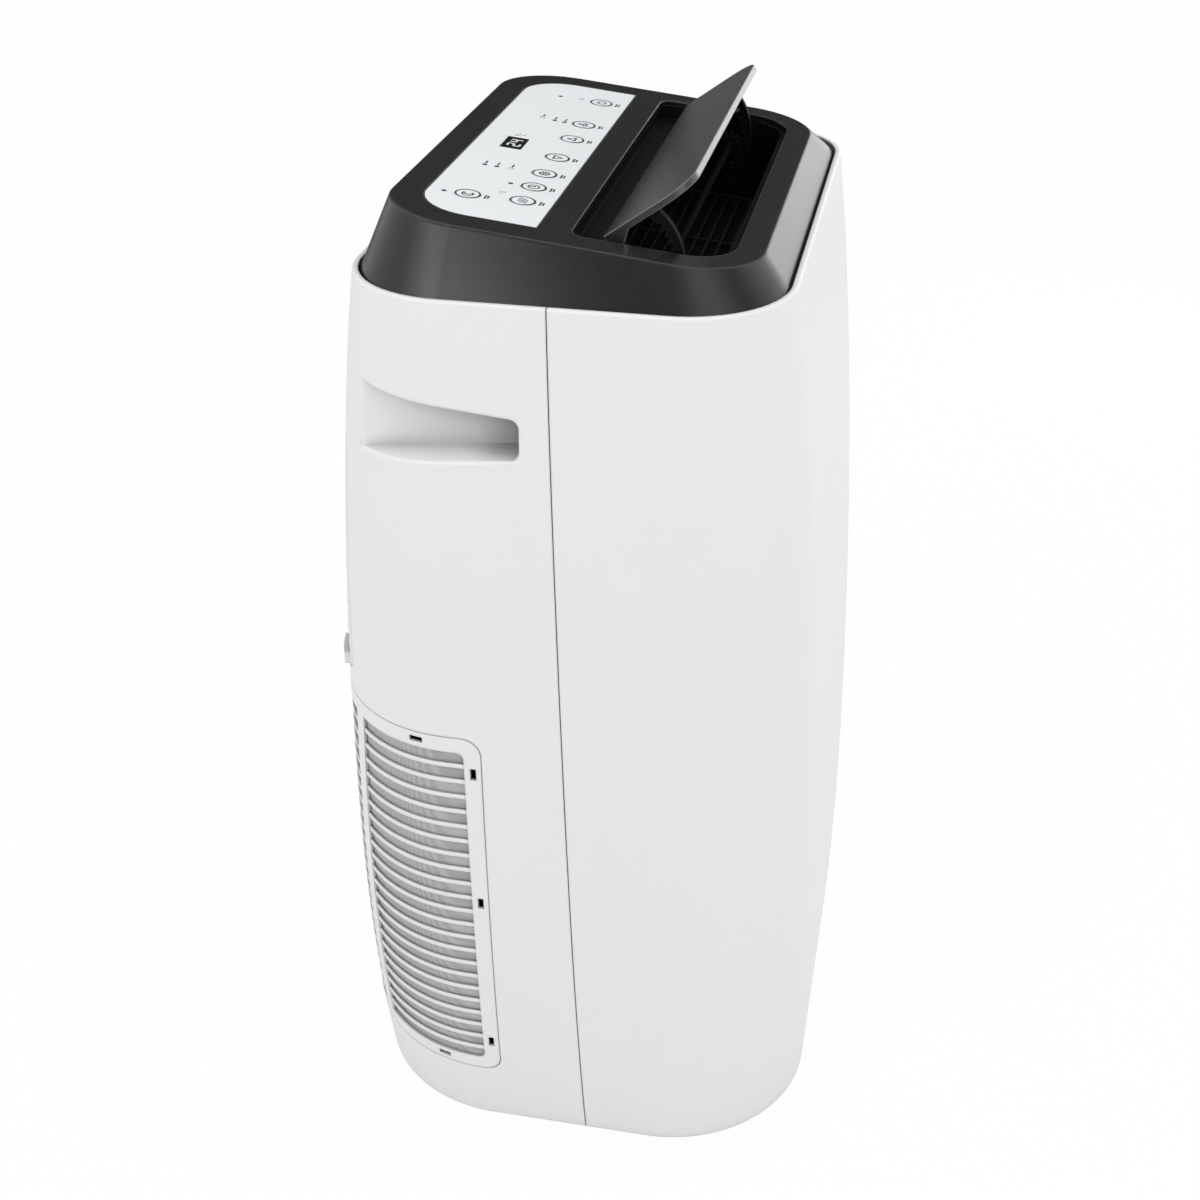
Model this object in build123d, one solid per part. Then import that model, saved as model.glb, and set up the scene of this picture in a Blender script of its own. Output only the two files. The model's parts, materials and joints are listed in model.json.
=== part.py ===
from build123d import *
import os
from math import acos, cos, pi, radians, sin, tan

# Portable air conditioner, millimetres and degrees.
# Front is -Y, +X is the right seen from the front, the floor is Z = 0.

# Cabinet: a barrel of rounded rectangles, each level given above the hem
FLOOR_GAP = 16.0
BODY_HEIGHT = 655.0
WALL = 3.5
HEM_ROUND = 2.4
SHOULDER_ROUND = 1.2
FOOT_HALF_WIDTH = 179.0
FOOT_HALF_DEPTH = 164.0
FOOT_CORNER = 106.0
LOW_RISE = 104.0
LOW_HALF_WIDTH = 193.5
LOW_HALF_DEPTH = 167.5
LOW_CORNER = 102.0
BELLY_RISE = 328.0
BELLY_HALF_WIDTH = 207.5
BELLY_HALF_DEPTH = 161.5
BELLY_CORNER = 90.0
CHEST_RISE = 504.0
CHEST_HALF_WIDTH = 209.8
CHEST_HALF_DEPTH = 149.5
CHEST_CORNER = 79.0
RIM_HALF_WIDTH = 204.8
RIM_HALF_DEPTH = 132.0
RIM_CORNER = 66.0
SEAM_GAP = 0.6
SEAM_RIM_Y = 1.2
SEAM_FOOT_Y = -13.4

# Clearances
PANEL_GAP = 0.4
FIT_GAP = 0.05
TOUCH_GAP = 0.3

# Carry pockets in the cabinet's sides
HANDLE_DEPTH = 24.5
HANDLE_FRONT = 18.0
HANDLE_DROP = 68.2
HANDLE_HEIGHT = 22.5
HANDLE_TOP_SLOPE = 5.5
HANDLE_SILL_SLOPE = 6.0
HANDLE_CREASE_SLOPE = 5.3
HANDLE_WALL_SLANT = 2.3
HANDLE_ROUND = 6.0
HANDLE_LIP_ROUND = 2.0

# Lower grille, wrapped round the back
GRILLE_FRONT = 48.0
GRILLE_RISE = 54.0
GRILLE_HEIGHT = 308.0
GRILLE_ROUND = 13.0
GRILLE_THICK = 2.5
GRILLE_FRAME = 12.0
GRILLE_SLOTS = 23
GRILLE_SLAT = 3.4
GRILLE_SLAT_INSET = 0.55
GRILLE_SLAT_THICK = 1.4
GRILLE_SLAT_LAP = 2.0
GRILLE_SLOT_ROUND = 5.0
GRILLE_STRIP = 12.0
GRILLE_STRIP_LOW_ANGLE = 112.0
GRILLE_STRIP_HIGH_ANGLE = 131.0
CLIP_LONG = 9.0
CLIP_SHORT = 4.0
CLIP_DROPS = (28.0, 139.0, 277.0)
CLIP_BACK = 44.0
MESH_THICK = 1.0

# Upper intake filter, in the upper back
FILTER_LEFT = -168.0
FILTER_RIGHT = 22.0
FILTER_ABOVE_GRILLE = 15.0
FILTER_HEIGHT = 173.0
FILTER_ROUND = 10.0
FILTER_FRAME = 9.0
FILTER_SLOTS = 17
FILTER_SLAT = 4.0
FILTER_TAB_WIDTH = 24.0
FILTER_TAB_HEIGHT = 9.0
FILTER_TAB_PROUD = 3.5
FILTER_REACH = 60.0

# Top cover, whose face slopes down to the front
COVER_RISE = 27.2
COVER_SLOPE = 6.42
COVER_HALF_WIDTH = 174.5
COVER_HALF_DEPTH = 112.0
COVER_CORNER = 48.0
COVER_WALL = 3.5
COVER_SKIRT = 12.0
COVER_SUNK = 3.0
COVER_GAP = 0.6
COVER_SEAT_WIDTH = 8.0
COVER_SEAT_THICK = 4.0
CREASE_ROUND = 2.0

# Control label, keys and display, placed on the cover's face
LABEL_HALF_WIDTH = 153.7
LABEL_FRONT = 18.4
LABEL_REAR = 92.6
LABEL_ROUND = 32.0
LABEL_THICK = 1.5
KEY_RADIUS = 7.9
KEY_GAP = 0.35
KEY_TRAVEL = 0.5
KEY_PROUD = 0.2
KEY_STEM_RADIUS = 3.5
KEY_ROW = 36.5
KEY_PLACES = {
    "key_power": (119.5, KEY_ROW),
    "key_speed": (60.0, KEY_ROW),
    "key_up": (23.5, KEY_ROW),
    "key_down": (-20.5, KEY_ROW),
    "key_mode": (-56.5, KEY_ROW),
    "key_timer": (-85.0, KEY_ROW),
    "key_swing": (-113.0, KEY_ROW),
    "key_sleep": (-117.5, 69.0),
}
DISPLAY_X = -4.5
DISPLAY_Y = 68.5
DISPLAY_WIDTH = 24.5
DISPLAY_DEPTH = 13.6
DISPLAY_RIM = 1.2
BOARD_DEPTH = 11.5
BOARD_THICK = 1.6
BOARD_MARGIN = 8.0
BOARD_POST_RADIUS = 3.5
SWITCH_SIZE = 6.0
SWITCH_BUTTON_RADIUS = 1.8
SWITCH_BODY = 2.6

# Air outlet and its flap, placed on the cover's face
OUTLET_HALF_WIDTH = 156.0
OUTLET_REAR = -1.6
OUTLET_FRONT = -95.4
OUTLET_REAR_ROUND = 10.0
OUTLET_FRONT_ROUND = 30.0
OUTLET_LEDGE = 4.0
OUTLET_LEDGE_GAP = 0.6
DUCT_WALL = 2.5
DUCT_DEPTH = 67.0
RECESS_DEPTH = 13.0
RECESS_FRONT = -18.5
FLAP_HALF_WIDTH = 150.0
FLAP_THICK = 4.0
FLAP_FRONT_GAP = 2.9
FLAP_REAR = -31.7
FLAP_FRONT_ROUND = 22.0
FLAP_EDGE_ROUND = 1.2
FLAP_OPEN = 41.7
HINGE_Y = -26.0
HINGE_DEPTH = 16.0
KNUCKLE_RADIUS = 4.5
HINGE_PIN_RADIUS = 2.0
LUG_WIDTH = 8.0
LUG_LENGTH = 18.0
GUARD_BAR = 1.4
GUARD_HEIGHT = 3.5
GUARD_PITCH = 8.4
GUARD_RIBS = 2

# Swing drive: toothed arms under the flap, turned by pinions from inside
RACK_X = 146.0
RACK_WIDTH = 5.0
RACK_RIM = 4.2
RACK_SWEEP = 75.0
RACK_OVERLAP = 20.0
RACK_BARE = 10.0
MODULE = 1.5
TOOTH_TIP = 1.2
TOOTH_ROOT = 1.8
RACK_TIP = 0.75
FLANK_STEPS = 4
PINION_TEETH = 10
RACK_TEETH = 50
PRESSURE_ANGLE = 20.0
BACKLASH = 0.5
MESH_ANGLE = 195.0
SHAFT_RADIUS = 2.5
SWING_MOTOR_RADIUS = 10.0
SWING_MOTOR_LENGTH = 13.0
SWING_SHAFT_REACH = 8.5

# Base pan and castors
PAN_THICK = 4.0
PAN_LIFT = 1.0
PAN_RIM_INSET = 24.0
PAN_RIM_THICK = 3.0
TAB_SIZE = 16.0
TAB_HEIGHT = 12.0
SCREW_RADIUS = 2.0
SCREW_HEAD_RADIUS = 4.0
SCREW_HEAD_HEIGHT = 2.4
SCREW_LENGTH = 12.0
CASTOR_X = 118.0
CASTOR_Y = 98.0
WHEEL_RADIUS = 16.0
WHEEL_WIDTH = 12.0
WHEEL_ROUND = 2.5
CASTOR_TRAIL = 9.0
AXLE_RADIUS = 2.5
CHEEK = 3.0
CHEEK_GAP = 0.5
FORK_PLATE = 4.0
FORK_PLATE_RADIUS = 14.0
FORK_HEADROOM = 2.0
STEM_RADIUS = 4.0
STEM_LENGTH = 10.0
STEM_BOSS_WALL = 4.0
WELL_RADIUS = 31.0
WELL_WALL = 3.0

# Refrigerant circuit and fans
DECK_THICK = 4.0
DECK_ABOVE_GRILLE = 3.0
COIL_DEPTH = 26.0
COIL_BACK_GAP = 16.0
COIL_FIN_PITCH = 6.0
COIL_FIN = 0.8
COIL_PLATE = 2.0
COIL_TUBE_RADIUS = 4.0
COIL_TUBE_PITCH = 24.0
COIL_END_ROOM = 6.0
CONDENSER_HALF_WIDTH = 135.0
CONDENSER_HEIGHT = 285.0
SHEET = 2.5
COMPRESSOR_X = 90.0
COMPRESSOR_Y = -58.0
COMPRESSOR_RADIUS = 58.0
COMPRESSOR_HEIGHT = 210.0
COMPRESSOR_DOME = 30.0
COMPRESSOR_FOOT = 4.0
COMPRESSOR_FOOT_REACH = 60.0
COMPRESSOR_FOOT_ANGLES = (90.0, 210.0, 330.0)
GROMMET_RADIUS = 11.0
GROMMET_HEIGHT = 20.0
ACCUMULATOR_RADIUS = 23.0
ACCUMULATOR_HEIGHT = 130.0
ACCUMULATOR_ROUND = 11.5
ACCUMULATOR_ANGLE = 225.0
PIPE_RADIUS = 4.0
PIPE_GAP = 12.0
PIPE_BEND = 9.6
LIQUID_PIPE_RADIUS = 2.0
DISCHARGE_OFFSET = 15.0
LIQUID_OFFSET = 34.0
EXHAUST_X = 94.0
EXHAUST_ABOVE_DECK = 100.0
EXHAUST_RADIUS = 62.0
EXHAUST_WALL = 3.0
EXHAUST_SUNK = 6.0
CONDENSER_FAN_X = -34.0
CONDENSER_FAN_RISE = 180.0
CONDENSER_FAN_RADIUS = 78.0
CONDENSER_SCROLL_Y = 8.0
CONDENSER_SCROLL_DEPTH = 70.0
BLOWER_X = -72.0
BLOWER_ABOVE_DECK = 108.0
BLOWER_RADIUS = 68.0
BLOWER_SCROLL_Y = -92.0
BLOWER_SCROLL_DEPTH = 86.0
BLOWER_OUTLET_REACH = 50.0
SCROLL_ROOM = 16.0
FAN_BLADES = 28
FAN_BLADE = 1.4
FAN_BLADE_DEPTH = 13.0
FAN_BLADE_LEAN = 30.0
FAN_SHAFT_RADIUS = 4.0
FAN_HUB_RADIUS = 13.0
FAN_HUB_LENGTH = 19.5
FAN_END_ROOM = 6.0
FAN_STAND_HALF_WIDTH = 26.0
MOTOR_RADIUS = 42.0
MOTOR_LENGTH = 38.0
MOTOR_ROUND = 8.0
MOTOR_SHAFT_REACH = 19.0
ELECTRICAL_BOX_WIDTH = 100.0
ELECTRICAL_BOX_DEPTH = 60.0
ELECTRICAL_BOX_HEIGHT = 130.0
ELECTRICAL_BOX_X = 95.0
ELECTRICAL_BOX_Y = -75.0

# Drain and mains inlet, low on the back
DRAIN_X = 62.0
DRAIN_RISE = 17.0
DRAIN_BORE = 6.0
DRAIN_SPOUT_WALL = 3.0
DRAIN_HEAD_RADIUS = 10.0
DRAIN_HEAD = 4.0
DRAIN_STEM = 16.0
GLAND_X = -62.0
GLAND_RISE = 30.0
GLAND_RADIUS = 8.0
GLAND_FLANGE_RADIUS = 11.0
GLAND_BORE = 4.0
GLAND_LENGTH = 16.0
GLAND_FLANGE = 2.0

# Levels and planes that follow from the sizes above
HEM_Z = FLOOR_GAP
RIM_Z = HEM_Z + BODY_HEIGHT
BELLY_Z = HEM_Z + BELLY_RISE
FAR = 2 * BODY_HEIGHT
LEVELS = (
    (HEM_Z, FOOT_HALF_WIDTH, FOOT_HALF_DEPTH, FOOT_CORNER),
    (HEM_Z + LOW_RISE, LOW_HALF_WIDTH, LOW_HALF_DEPTH, LOW_CORNER),
    (BELLY_Z, BELLY_HALF_WIDTH, BELLY_HALF_DEPTH, BELLY_CORNER),
    (HEM_Z + CHEST_RISE, CHEST_HALF_WIDTH, CHEST_HALF_DEPTH, CHEST_CORNER),
    (RIM_Z, RIM_HALF_WIDTH, RIM_HALF_DEPTH, RIM_CORNER),
)
TOP = Plane(
    origin=(0, 0, RIM_Z + COVER_RISE),
    x_dir=(1, 0, 0),
    z_dir=(0, -sin(radians(COVER_SLOPE)), cos(radians(COVER_SLOPE))),
)
GRILLE_LOW = HEM_Z + GRILLE_RISE
GRILLE_HIGH = GRILLE_LOW + GRILLE_HEIGHT
FILTER_LOW = GRILLE_HIGH + FILTER_ABOVE_GRILLE
FILTER_HIGH = FILTER_LOW + FILTER_HEIGHT
DECK_Z = GRILLE_HIGH + DECK_ABOVE_GRILLE
DECK_TOP = DECK_Z + DECK_THICK
PAN_LOW = HEM_Z + PAN_LIFT
PAN_TOP = PAN_LOW + PAN_THICK
FORK_LOW = 2 * WHEEL_RADIUS + FORK_HEADROOM
FORK_TOP = FORK_LOW + FORK_PLATE
WELL_CEILING = FORK_TOP + TOUCH_GAP
WELL_TOP = WELL_CEILING + WELL_WALL
STEM_TOP = FORK_TOP + STEM_LENGTH
COVER_FOOT_Z = RIM_Z - COVER_SUNK
COVER_SEAT_Z = COVER_FOOT_Z - COVER_SKIRT
HINGE = TOP.from_local_coords(Vector(0, HINGE_Y, -HINGE_DEPTH))
HINGE_AXIS = Axis(HINGE, (1, 0, 0))
PITCH_RADIUS = MODULE * PINION_TEETH / 2
RACK_RADIUS = MODULE * RACK_TEETH / 2

PARTS = {}


def block(low, high):
    """A box between two corners."""
    size = [b - a for a, b in zip(low, high)]
    middle = [(a + b) / 2 for a, b in zip(low, high)]
    return Pos(*middle) * Box(*size)


def slab(z0, z1):
    """Everything between two heights."""
    return block((-FAR, -FAR, z0), (FAR, FAR, z1))


def rod_x(x0, x1, y, z, radius):
    return Pos((x0 + x1) / 2, y, z) * Rot(0, 90, 0) * Cylinder(radius, x1 - x0)


def rod_y(x, y0, y1, z, radius):
    return Pos(x, (y0 + y1) / 2, z) * Rot(90, 0, 0) * Cylinder(radius, y1 - y0)


def rod_z(x, y, z0, z1, radius):
    return Pos(x, y, (z0 + z1) / 2) * Cylinder(radius, z1 - z0)


def prism_x(sketch, x0, x1):
    """Push a sketch drawn in Y and Z from x0 to x1."""
    plane = Plane(origin=(x0, 0, 0), x_dir=(0, 1, 0), z_dir=(1, 0, 0))
    return extrude(plane * sketch, x1 - x0)


def prism_y(sketch, y0, y1):
    """Push a sketch drawn in X and Z from y0 to y1."""
    plane = Plane(origin=(0, y1, 0), x_dir=(1, 0, 0), z_dir=(0, -1, 0))
    return extrude(plane * sketch, y1 - y0)


def on_top(sketch, high, low):
    """Push a sketch drawn on the cover's face between two heights above that face."""
    return extrude(TOP.offset(low) * sketch, high - low)


def spread(x0, x1, y0, y1):
    """A rectangle between two corners."""
    return Pos((x0 + x1) / 2, (y0 + y1) / 2) * Rectangle(x1 - x0, y1 - y0)


def at_height(z, column):
    """A size of the cabinet at a height, between the levels that enclose it."""
    for low, high in zip(LEVELS, LEVELS[1:]):
        if z <= high[0] or high is LEVELS[-1]:
            share = (z - low[0]) / (high[0] - low[0])
            return low[column] + share * (high[column] - low[column])


def half_depth(z):
    return at_height(z, 2)


def body(inset):
    """The cabinet's solid, drawn in by an even inset."""
    outlines = []
    for z, wide, deep, corner in LEVELS:
        outline = RectangleRounded(2 * (wide - inset), 2 * (deep - inset), corner - inset)
        outlines.append(Pos(0, 0, z) * outline)
    return loft(outlines)


def skin(outer_inset, inner_inset):
    return body(outer_inset) - body(inner_inset)


def seam_plane(shift):
    """The leaning plane that parts the front housing from the rear housing."""
    lean = Vector(0, SEAM_RIM_Y - SEAM_FOOT_Y, BODY_HEIGHT).normalized()
    normal = Vector(0, lean.Z, -lean.Y)
    return Plane(origin=(0, SEAM_FOOT_Y + shift, HEM_Z), x_dir=(1, 0, 0), z_dir=normal)


def handle_space(grow):
    """The right-hand carry pocket's hollow, grown by a wall on request."""
    floor_x = CHEST_HALF_WIDTH - HANDLE_DEPTH - grow
    outside_x = CHEST_HALF_WIDTH + HANDLE_DEPTH
    top_z = RIM_Z - HANDLE_DROP + grow
    crease_z = RIM_Z - HANDLE_DROP - HANDLE_HEIGHT - grow
    front = HANDLE_FRONT - grow
    rear = CHEST_HALF_DEPTH
    length = rear - front
    high_z = top_z + length * tan(radians(HANDLE_TOP_SLOPE))
    fall = tan(radians(HANDLE_SILL_SLOPE))
    sill_z = crease_z - HANDLE_DEPTH * fall
    low_z = sill_z - length * tan(radians(HANDLE_CREASE_SLOPE))
    mouth = Polygon((front, sill_z), (rear, low_z), (rear, high_z), (front, top_z), align=None)
    mouth = fillet(mouth.vertices().group_by(Axis.X)[0], HANDLE_ROUND + grow)
    reach = outside_x - floor_x
    profile = Polygon((0, 0), (reach, -reach * fall), (reach, length), (0, length), align=None)
    wedge = prism_y(profile, -HANDLE_DEPTH, length + HANDLE_DEPTH)
    wedge = Rot(-HANDLE_CREASE_SLOPE, 0, -HANDLE_WALL_SLANT) * wedge
    return prism_x(mouth, 0, outside_x) & Pos(floor_x, front, crease_z) * wedge


def handle_lips(shell):
    """Edges where the carry pockets break through the cabinet's outside."""
    just_inside = body(FIT_GAP)
    just_wider = handle_space(FIT_GAP)
    lips = []
    for edge in shell.edges():
        middle = edge.position_at(0.5)
        on_right = Vector(abs(middle.X), middle.Y, middle.Z)
        if just_wider.is_inside(on_right) and not just_inside.is_inside(middle):
            lips.append(edge)
    return lips


def grille_region(inset, corner):
    """Everything behind the lower grille's outline, drawn in by an inset."""
    outline = spread(GRILLE_FRONT + inset, FAR, GRILLE_LOW + inset, GRILLE_HIGH - inset)
    outline = fillet(outline.vertices().group_by(Axis.X)[0], corner)
    return prism_x(outline, -FAR, FAR)


def filter_region(inset):
    """Everything behind the upper filter's outline, drawn in by an inset."""
    outline = spread(
        FILTER_LEFT + inset, FILTER_RIGHT - inset, FILTER_LOW + inset, FILTER_HIGH - inset
    )
    outline = fillet(outline.vertices(), FILTER_ROUND)
    return prism_y(outline, FILTER_REACH, FAR)


def tab_places(side):
    """Centres of the screw tabs on the front (-1) or rear (1) housing."""
    reach_x = FOOT_HALF_WIDTH - WALL - TAB_SIZE / 2
    reach_y = FOOT_HALF_DEPTH - WALL - TAB_SIZE / 2
    along = FOOT_HALF_DEPTH - FOOT_CORNER
    return [(-reach_x, side * along), (0, side * reach_y), (reach_x, side * along)]


def screw_tabs(side):
    """Blocks inside the hem that stand on the base pan and take its screws."""
    tabs = []
    for x, y in tab_places(side):
        reach = TAB_SIZE / 2 + WALL
        low = (x - reach, y - reach, PAN_TOP)
        high = (x + reach, y + reach, PAN_TOP + TAB_HEIGHT)
        room = body(WALL / 2)
        tab = block(low, high) & room
        tabs.append(tab - rod_z(x, y, PAN_LOW, PAN_TOP + TAB_HEIGHT + WALL, SCREW_RADIUS))
    return tabs


def exhaust_z():
    return DECK_TOP + EXHAUST_ABOVE_DECK


def drain_z():
    return HEM_Z + DRAIN_RISE


def gland_z():
    return HEM_Z + GLAND_RISE


def make_housings():
    outer = body(0)
    outer = fillet(outer.edges().group_by(Axis.Z)[0], HEM_ROUND)
    outer = fillet(outer.edges().group_by(Axis.Z)[-1], SHOULDER_ROUND)
    shell = outer - body(WALL)
    seat = body(WALL / 2) & slab(COVER_SEAT_Z - COVER_SEAT_THICK, COVER_SEAT_Z)
    shell += seat - extrude(Pos(0, 0, BELLY_Z) * rim_outline(COVER_SEAT_WIDTH), BODY_HEIGHT)
    front = split(shell, seam_plane(-SEAM_GAP / 2), keep=Keep.BOTTOM)
    rear = split(shell, seam_plane(SEAM_GAP / 2), keep=Keep.TOP)

    right_pocket = handle_space(WALL) & body(WALL / 2)
    right_hollow = handle_space(0)
    for pocket, hollow in (
        (right_pocket, right_hollow),
        (mirror(right_pocket, about=Plane.YZ), mirror(right_hollow, about=Plane.YZ)),
    ):
        rear = rear + pocket - hollow
    rear = fillet(handle_lips(rear), HANDLE_LIP_ROUND)
    rear -= grille_region(0, GRILLE_ROUND)
    rear -= filter_region(0)
    wall_y = half_depth(exhaust_z()) - CHEST_CORNER
    rear -= rod_y(EXHAUST_X, wall_y, FAR, exhaust_z(), EXHAUST_RADIUS + EXHAUST_WALL + PANEL_GAP)
    hem_y = FOOT_HALF_DEPTH - PAN_RIM_INSET
    rear -= rod_y(DRAIN_X, hem_y, FAR, drain_z(), DRAIN_HEAD_RADIUS + PANEL_GAP)
    rear -= rod_y(GLAND_X, hem_y, FAR, gland_z(), GLAND_RADIUS)
    gland_face = half_depth(gland_z())
    rear -= rod_y(GLAND_X, gland_face, FAR, gland_z(), GLAND_FLANGE_RADIUS + PANEL_GAP)
    for tab in screw_tabs(-1):
        front += tab
    for tab in screw_tabs(1):
        rear += tab
    PARTS["front_housing"] = front
    PARTS["rear_housing"] = rear


def grille_columns(inset, strip_angle):
    """Plan shapes of the lower grille's two slot columns on its left half."""
    corner_x = BELLY_HALF_WIDTH - BELLY_CORNER
    corner_y = BELLY_HALF_DEPTH - BELLY_CORNER
    start_y = GRILLE_FRONT + inset
    angle = radians(strip_angle)
    along = Vector(cos(angle), sin(angle), 0)
    across = Vector(-along.Y, along.X, 0) * (GRILLE_STRIP / 2)
    core = Vector(-corner_x, corner_y, 0)
    side_in = core + across
    side_out = side_in + along * FAR
    side = Polygon(
        (side_in.X, side_in.Y),
        (side_out.X, side_out.Y),
        (-FAR, side_out.Y),
        (-FAR, start_y),
        (side_in.X, start_y),
        align=None,
    )
    rear_in = core - across
    rear_out = rear_in + along * FAR
    middle_x = -GRILLE_STRIP / 2
    rear = Polygon(
        (middle_x, rear_in.Y),
        (middle_x, rear_out.Y),
        (rear_out.X, rear_out.Y),
        (rear_in.X, rear_in.Y),
        align=None,
    )
    return [side, rear]


def grille_windows(inset):
    """The slot columns, parted by a strip that leans round the corner."""
    lows = grille_columns(inset, GRILLE_STRIP_LOW_ANGLE)
    highs = grille_columns(inset, GRILLE_STRIP_HIGH_ANGLE)
    room = grille_region(inset, GRILLE_SLOT_ROUND)
    windows = []
    for low, high in zip(lows, highs):
        column = loft([Pos(0, 0, GRILLE_LOW) * low, Pos(0, 0, GRILLE_HIGH) * high])
        windows.append(column & room)
    return windows


def grille_clips():
    """Latch windows through the lower grille's frame on its left half."""
    middle = GRILLE_FRAME / 2
    windows = []
    for drop in CLIP_DROPS:
        windows.append((GRILLE_FRONT + middle, GRILLE_HIGH - drop, CLIP_SHORT, CLIP_LONG))
    back = GRILLE_FRONT + CLIP_BACK
    windows.append((back, GRILLE_HIGH - middle, CLIP_LONG, CLIP_SHORT))
    windows.append((back, GRILLE_LOW + middle, CLIP_LONG, CLIP_SHORT))
    cutters = []
    for y, z, deep, tall in windows:
        window = spread(y - deep / 2, y + deep / 2, z - tall / 2, z + tall / 2)
        cutters.append(prism_x(window, -FAR, LOW_CORNER - LOW_HALF_WIDTH))
    return cutters


def grille_slats():
    """The lower grille's slats, which run through its strips from one side frame to the other."""
    outer = body(0)
    pitch = (GRILLE_HEIGHT - 2 * GRILLE_FRAME + GRILLE_SLAT) / GRILLE_SLOTS
    cut = block((-FAR, -FAR, 0), (FAR, GRILLE_FRONT + GRILLE_FRAME - GRILLE_SLAT_LAP, FAR))
    slats = []
    for index in range(1, GRILLE_SLOTS):
        z = GRILLE_LOW + GRILLE_FRAME + index * pitch - GRILLE_SLAT / 2
        size = section(outer, section_by=Plane.XY.offset(z)).bounding_box().size
        wide = size.X - 2 * GRILLE_SLAT_INSET
        deep = size.Y - 2 * GRILLE_SLAT_INSET
        corner = at_height(z, 3) - GRILLE_SLAT_INSET
        ring = RectangleRounded(wide, deep, corner) - RectangleRounded(
            wide - 2 * GRILLE_SLAT_THICK, deep - 2 * GRILLE_SLAT_THICK, corner - GRILLE_SLAT_THICK
        )
        slats.append(extrude(Pos(0, 0, z) * ring, GRILLE_SLAT / 2, both=True) - cut)
    return slats


def make_lower_grille():
    panel = skin(0, GRILLE_THICK) & grille_region(PANEL_GAP, GRILLE_ROUND)
    windows = grille_windows(GRILLE_FRAME) + grille_clips()
    windows += [mirror(window, about=Plane.YZ) for window in windows]
    panel -= windows
    PARTS["lower_grille"] = panel + grille_slats()
    lining = skin(GRILLE_THICK, GRILLE_THICK + MESH_THICK)
    lining &= grille_region(GRILLE_FRAME - CLIP_SHORT / 2, GRILLE_SLOT_ROUND)
    PARTS["lower_filter_mesh"] = lining


def make_upper_filter():
    panel = skin(0, GRILLE_THICK) & filter_region(PANEL_GAP)
    tab_x = FILTER_LEFT + FILTER_FRAME
    tab = block(
        (tab_x, FILTER_REACH, FILTER_LOW + PANEL_GAP),
        (tab_x + FILTER_TAB_WIDTH, FAR, FILTER_LOW + FILTER_TAB_HEIGHT),
    )
    panel += tab & skin(-FILTER_TAB_PROUD, GRILLE_THICK)
    low = FILTER_LOW + FILTER_FRAME
    pitch = (FILTER_HEIGHT - 2 * FILTER_FRAME + FILTER_SLAT) / FILTER_SLOTS
    middle = (FILTER_LEFT + FILTER_RIGHT) / 2
    spans = (
        (FILTER_LEFT + FILTER_FRAME, middle - FILTER_SLAT),
        (middle + FILTER_SLAT, FILTER_RIGHT - FILTER_FRAME),
    )
    cutters = []
    for x0, x1 in spans:
        for index in range(FILTER_SLOTS):
            z = low + index * pitch
            cutters.append(block((x0, FILTER_REACH, z), (x1, FAR, z + pitch - FILTER_SLAT)))
    PARTS["upper_filter_frame"] = panel - cutters
    lining = skin(GRILLE_THICK, GRILLE_THICK + MESH_THICK)
    PARTS["upper_filter_mesh"] = lining & filter_region(FILTER_FRAME / 2)


def rim_outline(inset):
    """The top cover's foot, set inside the cabinet's shoulder."""
    drawn_in = WALL + COVER_GAP + inset
    return RectangleRounded(
        2 * (RIM_HALF_WIDTH - drawn_in), 2 * (RIM_HALF_DEPTH - drawn_in), RIM_CORNER - drawn_in
    )


def face_outline(inset):
    """The top cover's sloping face."""
    return RectangleRounded(
        2 * (COVER_HALF_WIDTH - inset), 2 * (COVER_HALF_DEPTH - inset), COVER_CORNER - inset
    )


def outlet_outline(grow, front_in):
    """The air outlet's outline, with its front edge moved in."""
    outline = spread(
        -OUTLET_HALF_WIDTH - grow,
        OUTLET_HALF_WIDTH + grow,
        OUTLET_FRONT + front_in - grow,
        OUTLET_REAR + grow,
    )
    rows = outline.vertices().group_by(Axis.Y)
    outline = fillet(rows[0], OUTLET_FRONT_ROUND + grow - front_in)
    rows = outline.vertices().group_by(Axis.Y)
    return fillet(rows[-1], OUTLET_REAR_ROUND + grow)


def label_outline(grow):
    outline = spread(
        -LABEL_HALF_WIDTH - grow, LABEL_HALF_WIDTH + grow, LABEL_FRONT - grow, LABEL_REAR + grow
    )
    return fillet(outline.vertices().group_by(Axis.Y)[-1], LABEL_ROUND + grow)


def display_outline(grow):
    size = (DISPLAY_WIDTH + 2 * grow, DISPLAY_DEPTH + 2 * grow)
    return Pos(DISPLAY_X, DISPLAY_Y) * Rectangle(*size)


def board_posts():
    reach_x = LABEL_HALF_WIDTH - BOARD_MARGIN - LABEL_ROUND / 2
    front = LABEL_FRONT + BOARD_MARGIN
    rear = LABEL_REAR - BOARD_MARGIN
    return [(x, y) for x in (-reach_x, reach_x) for y in (front, rear)]


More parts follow.
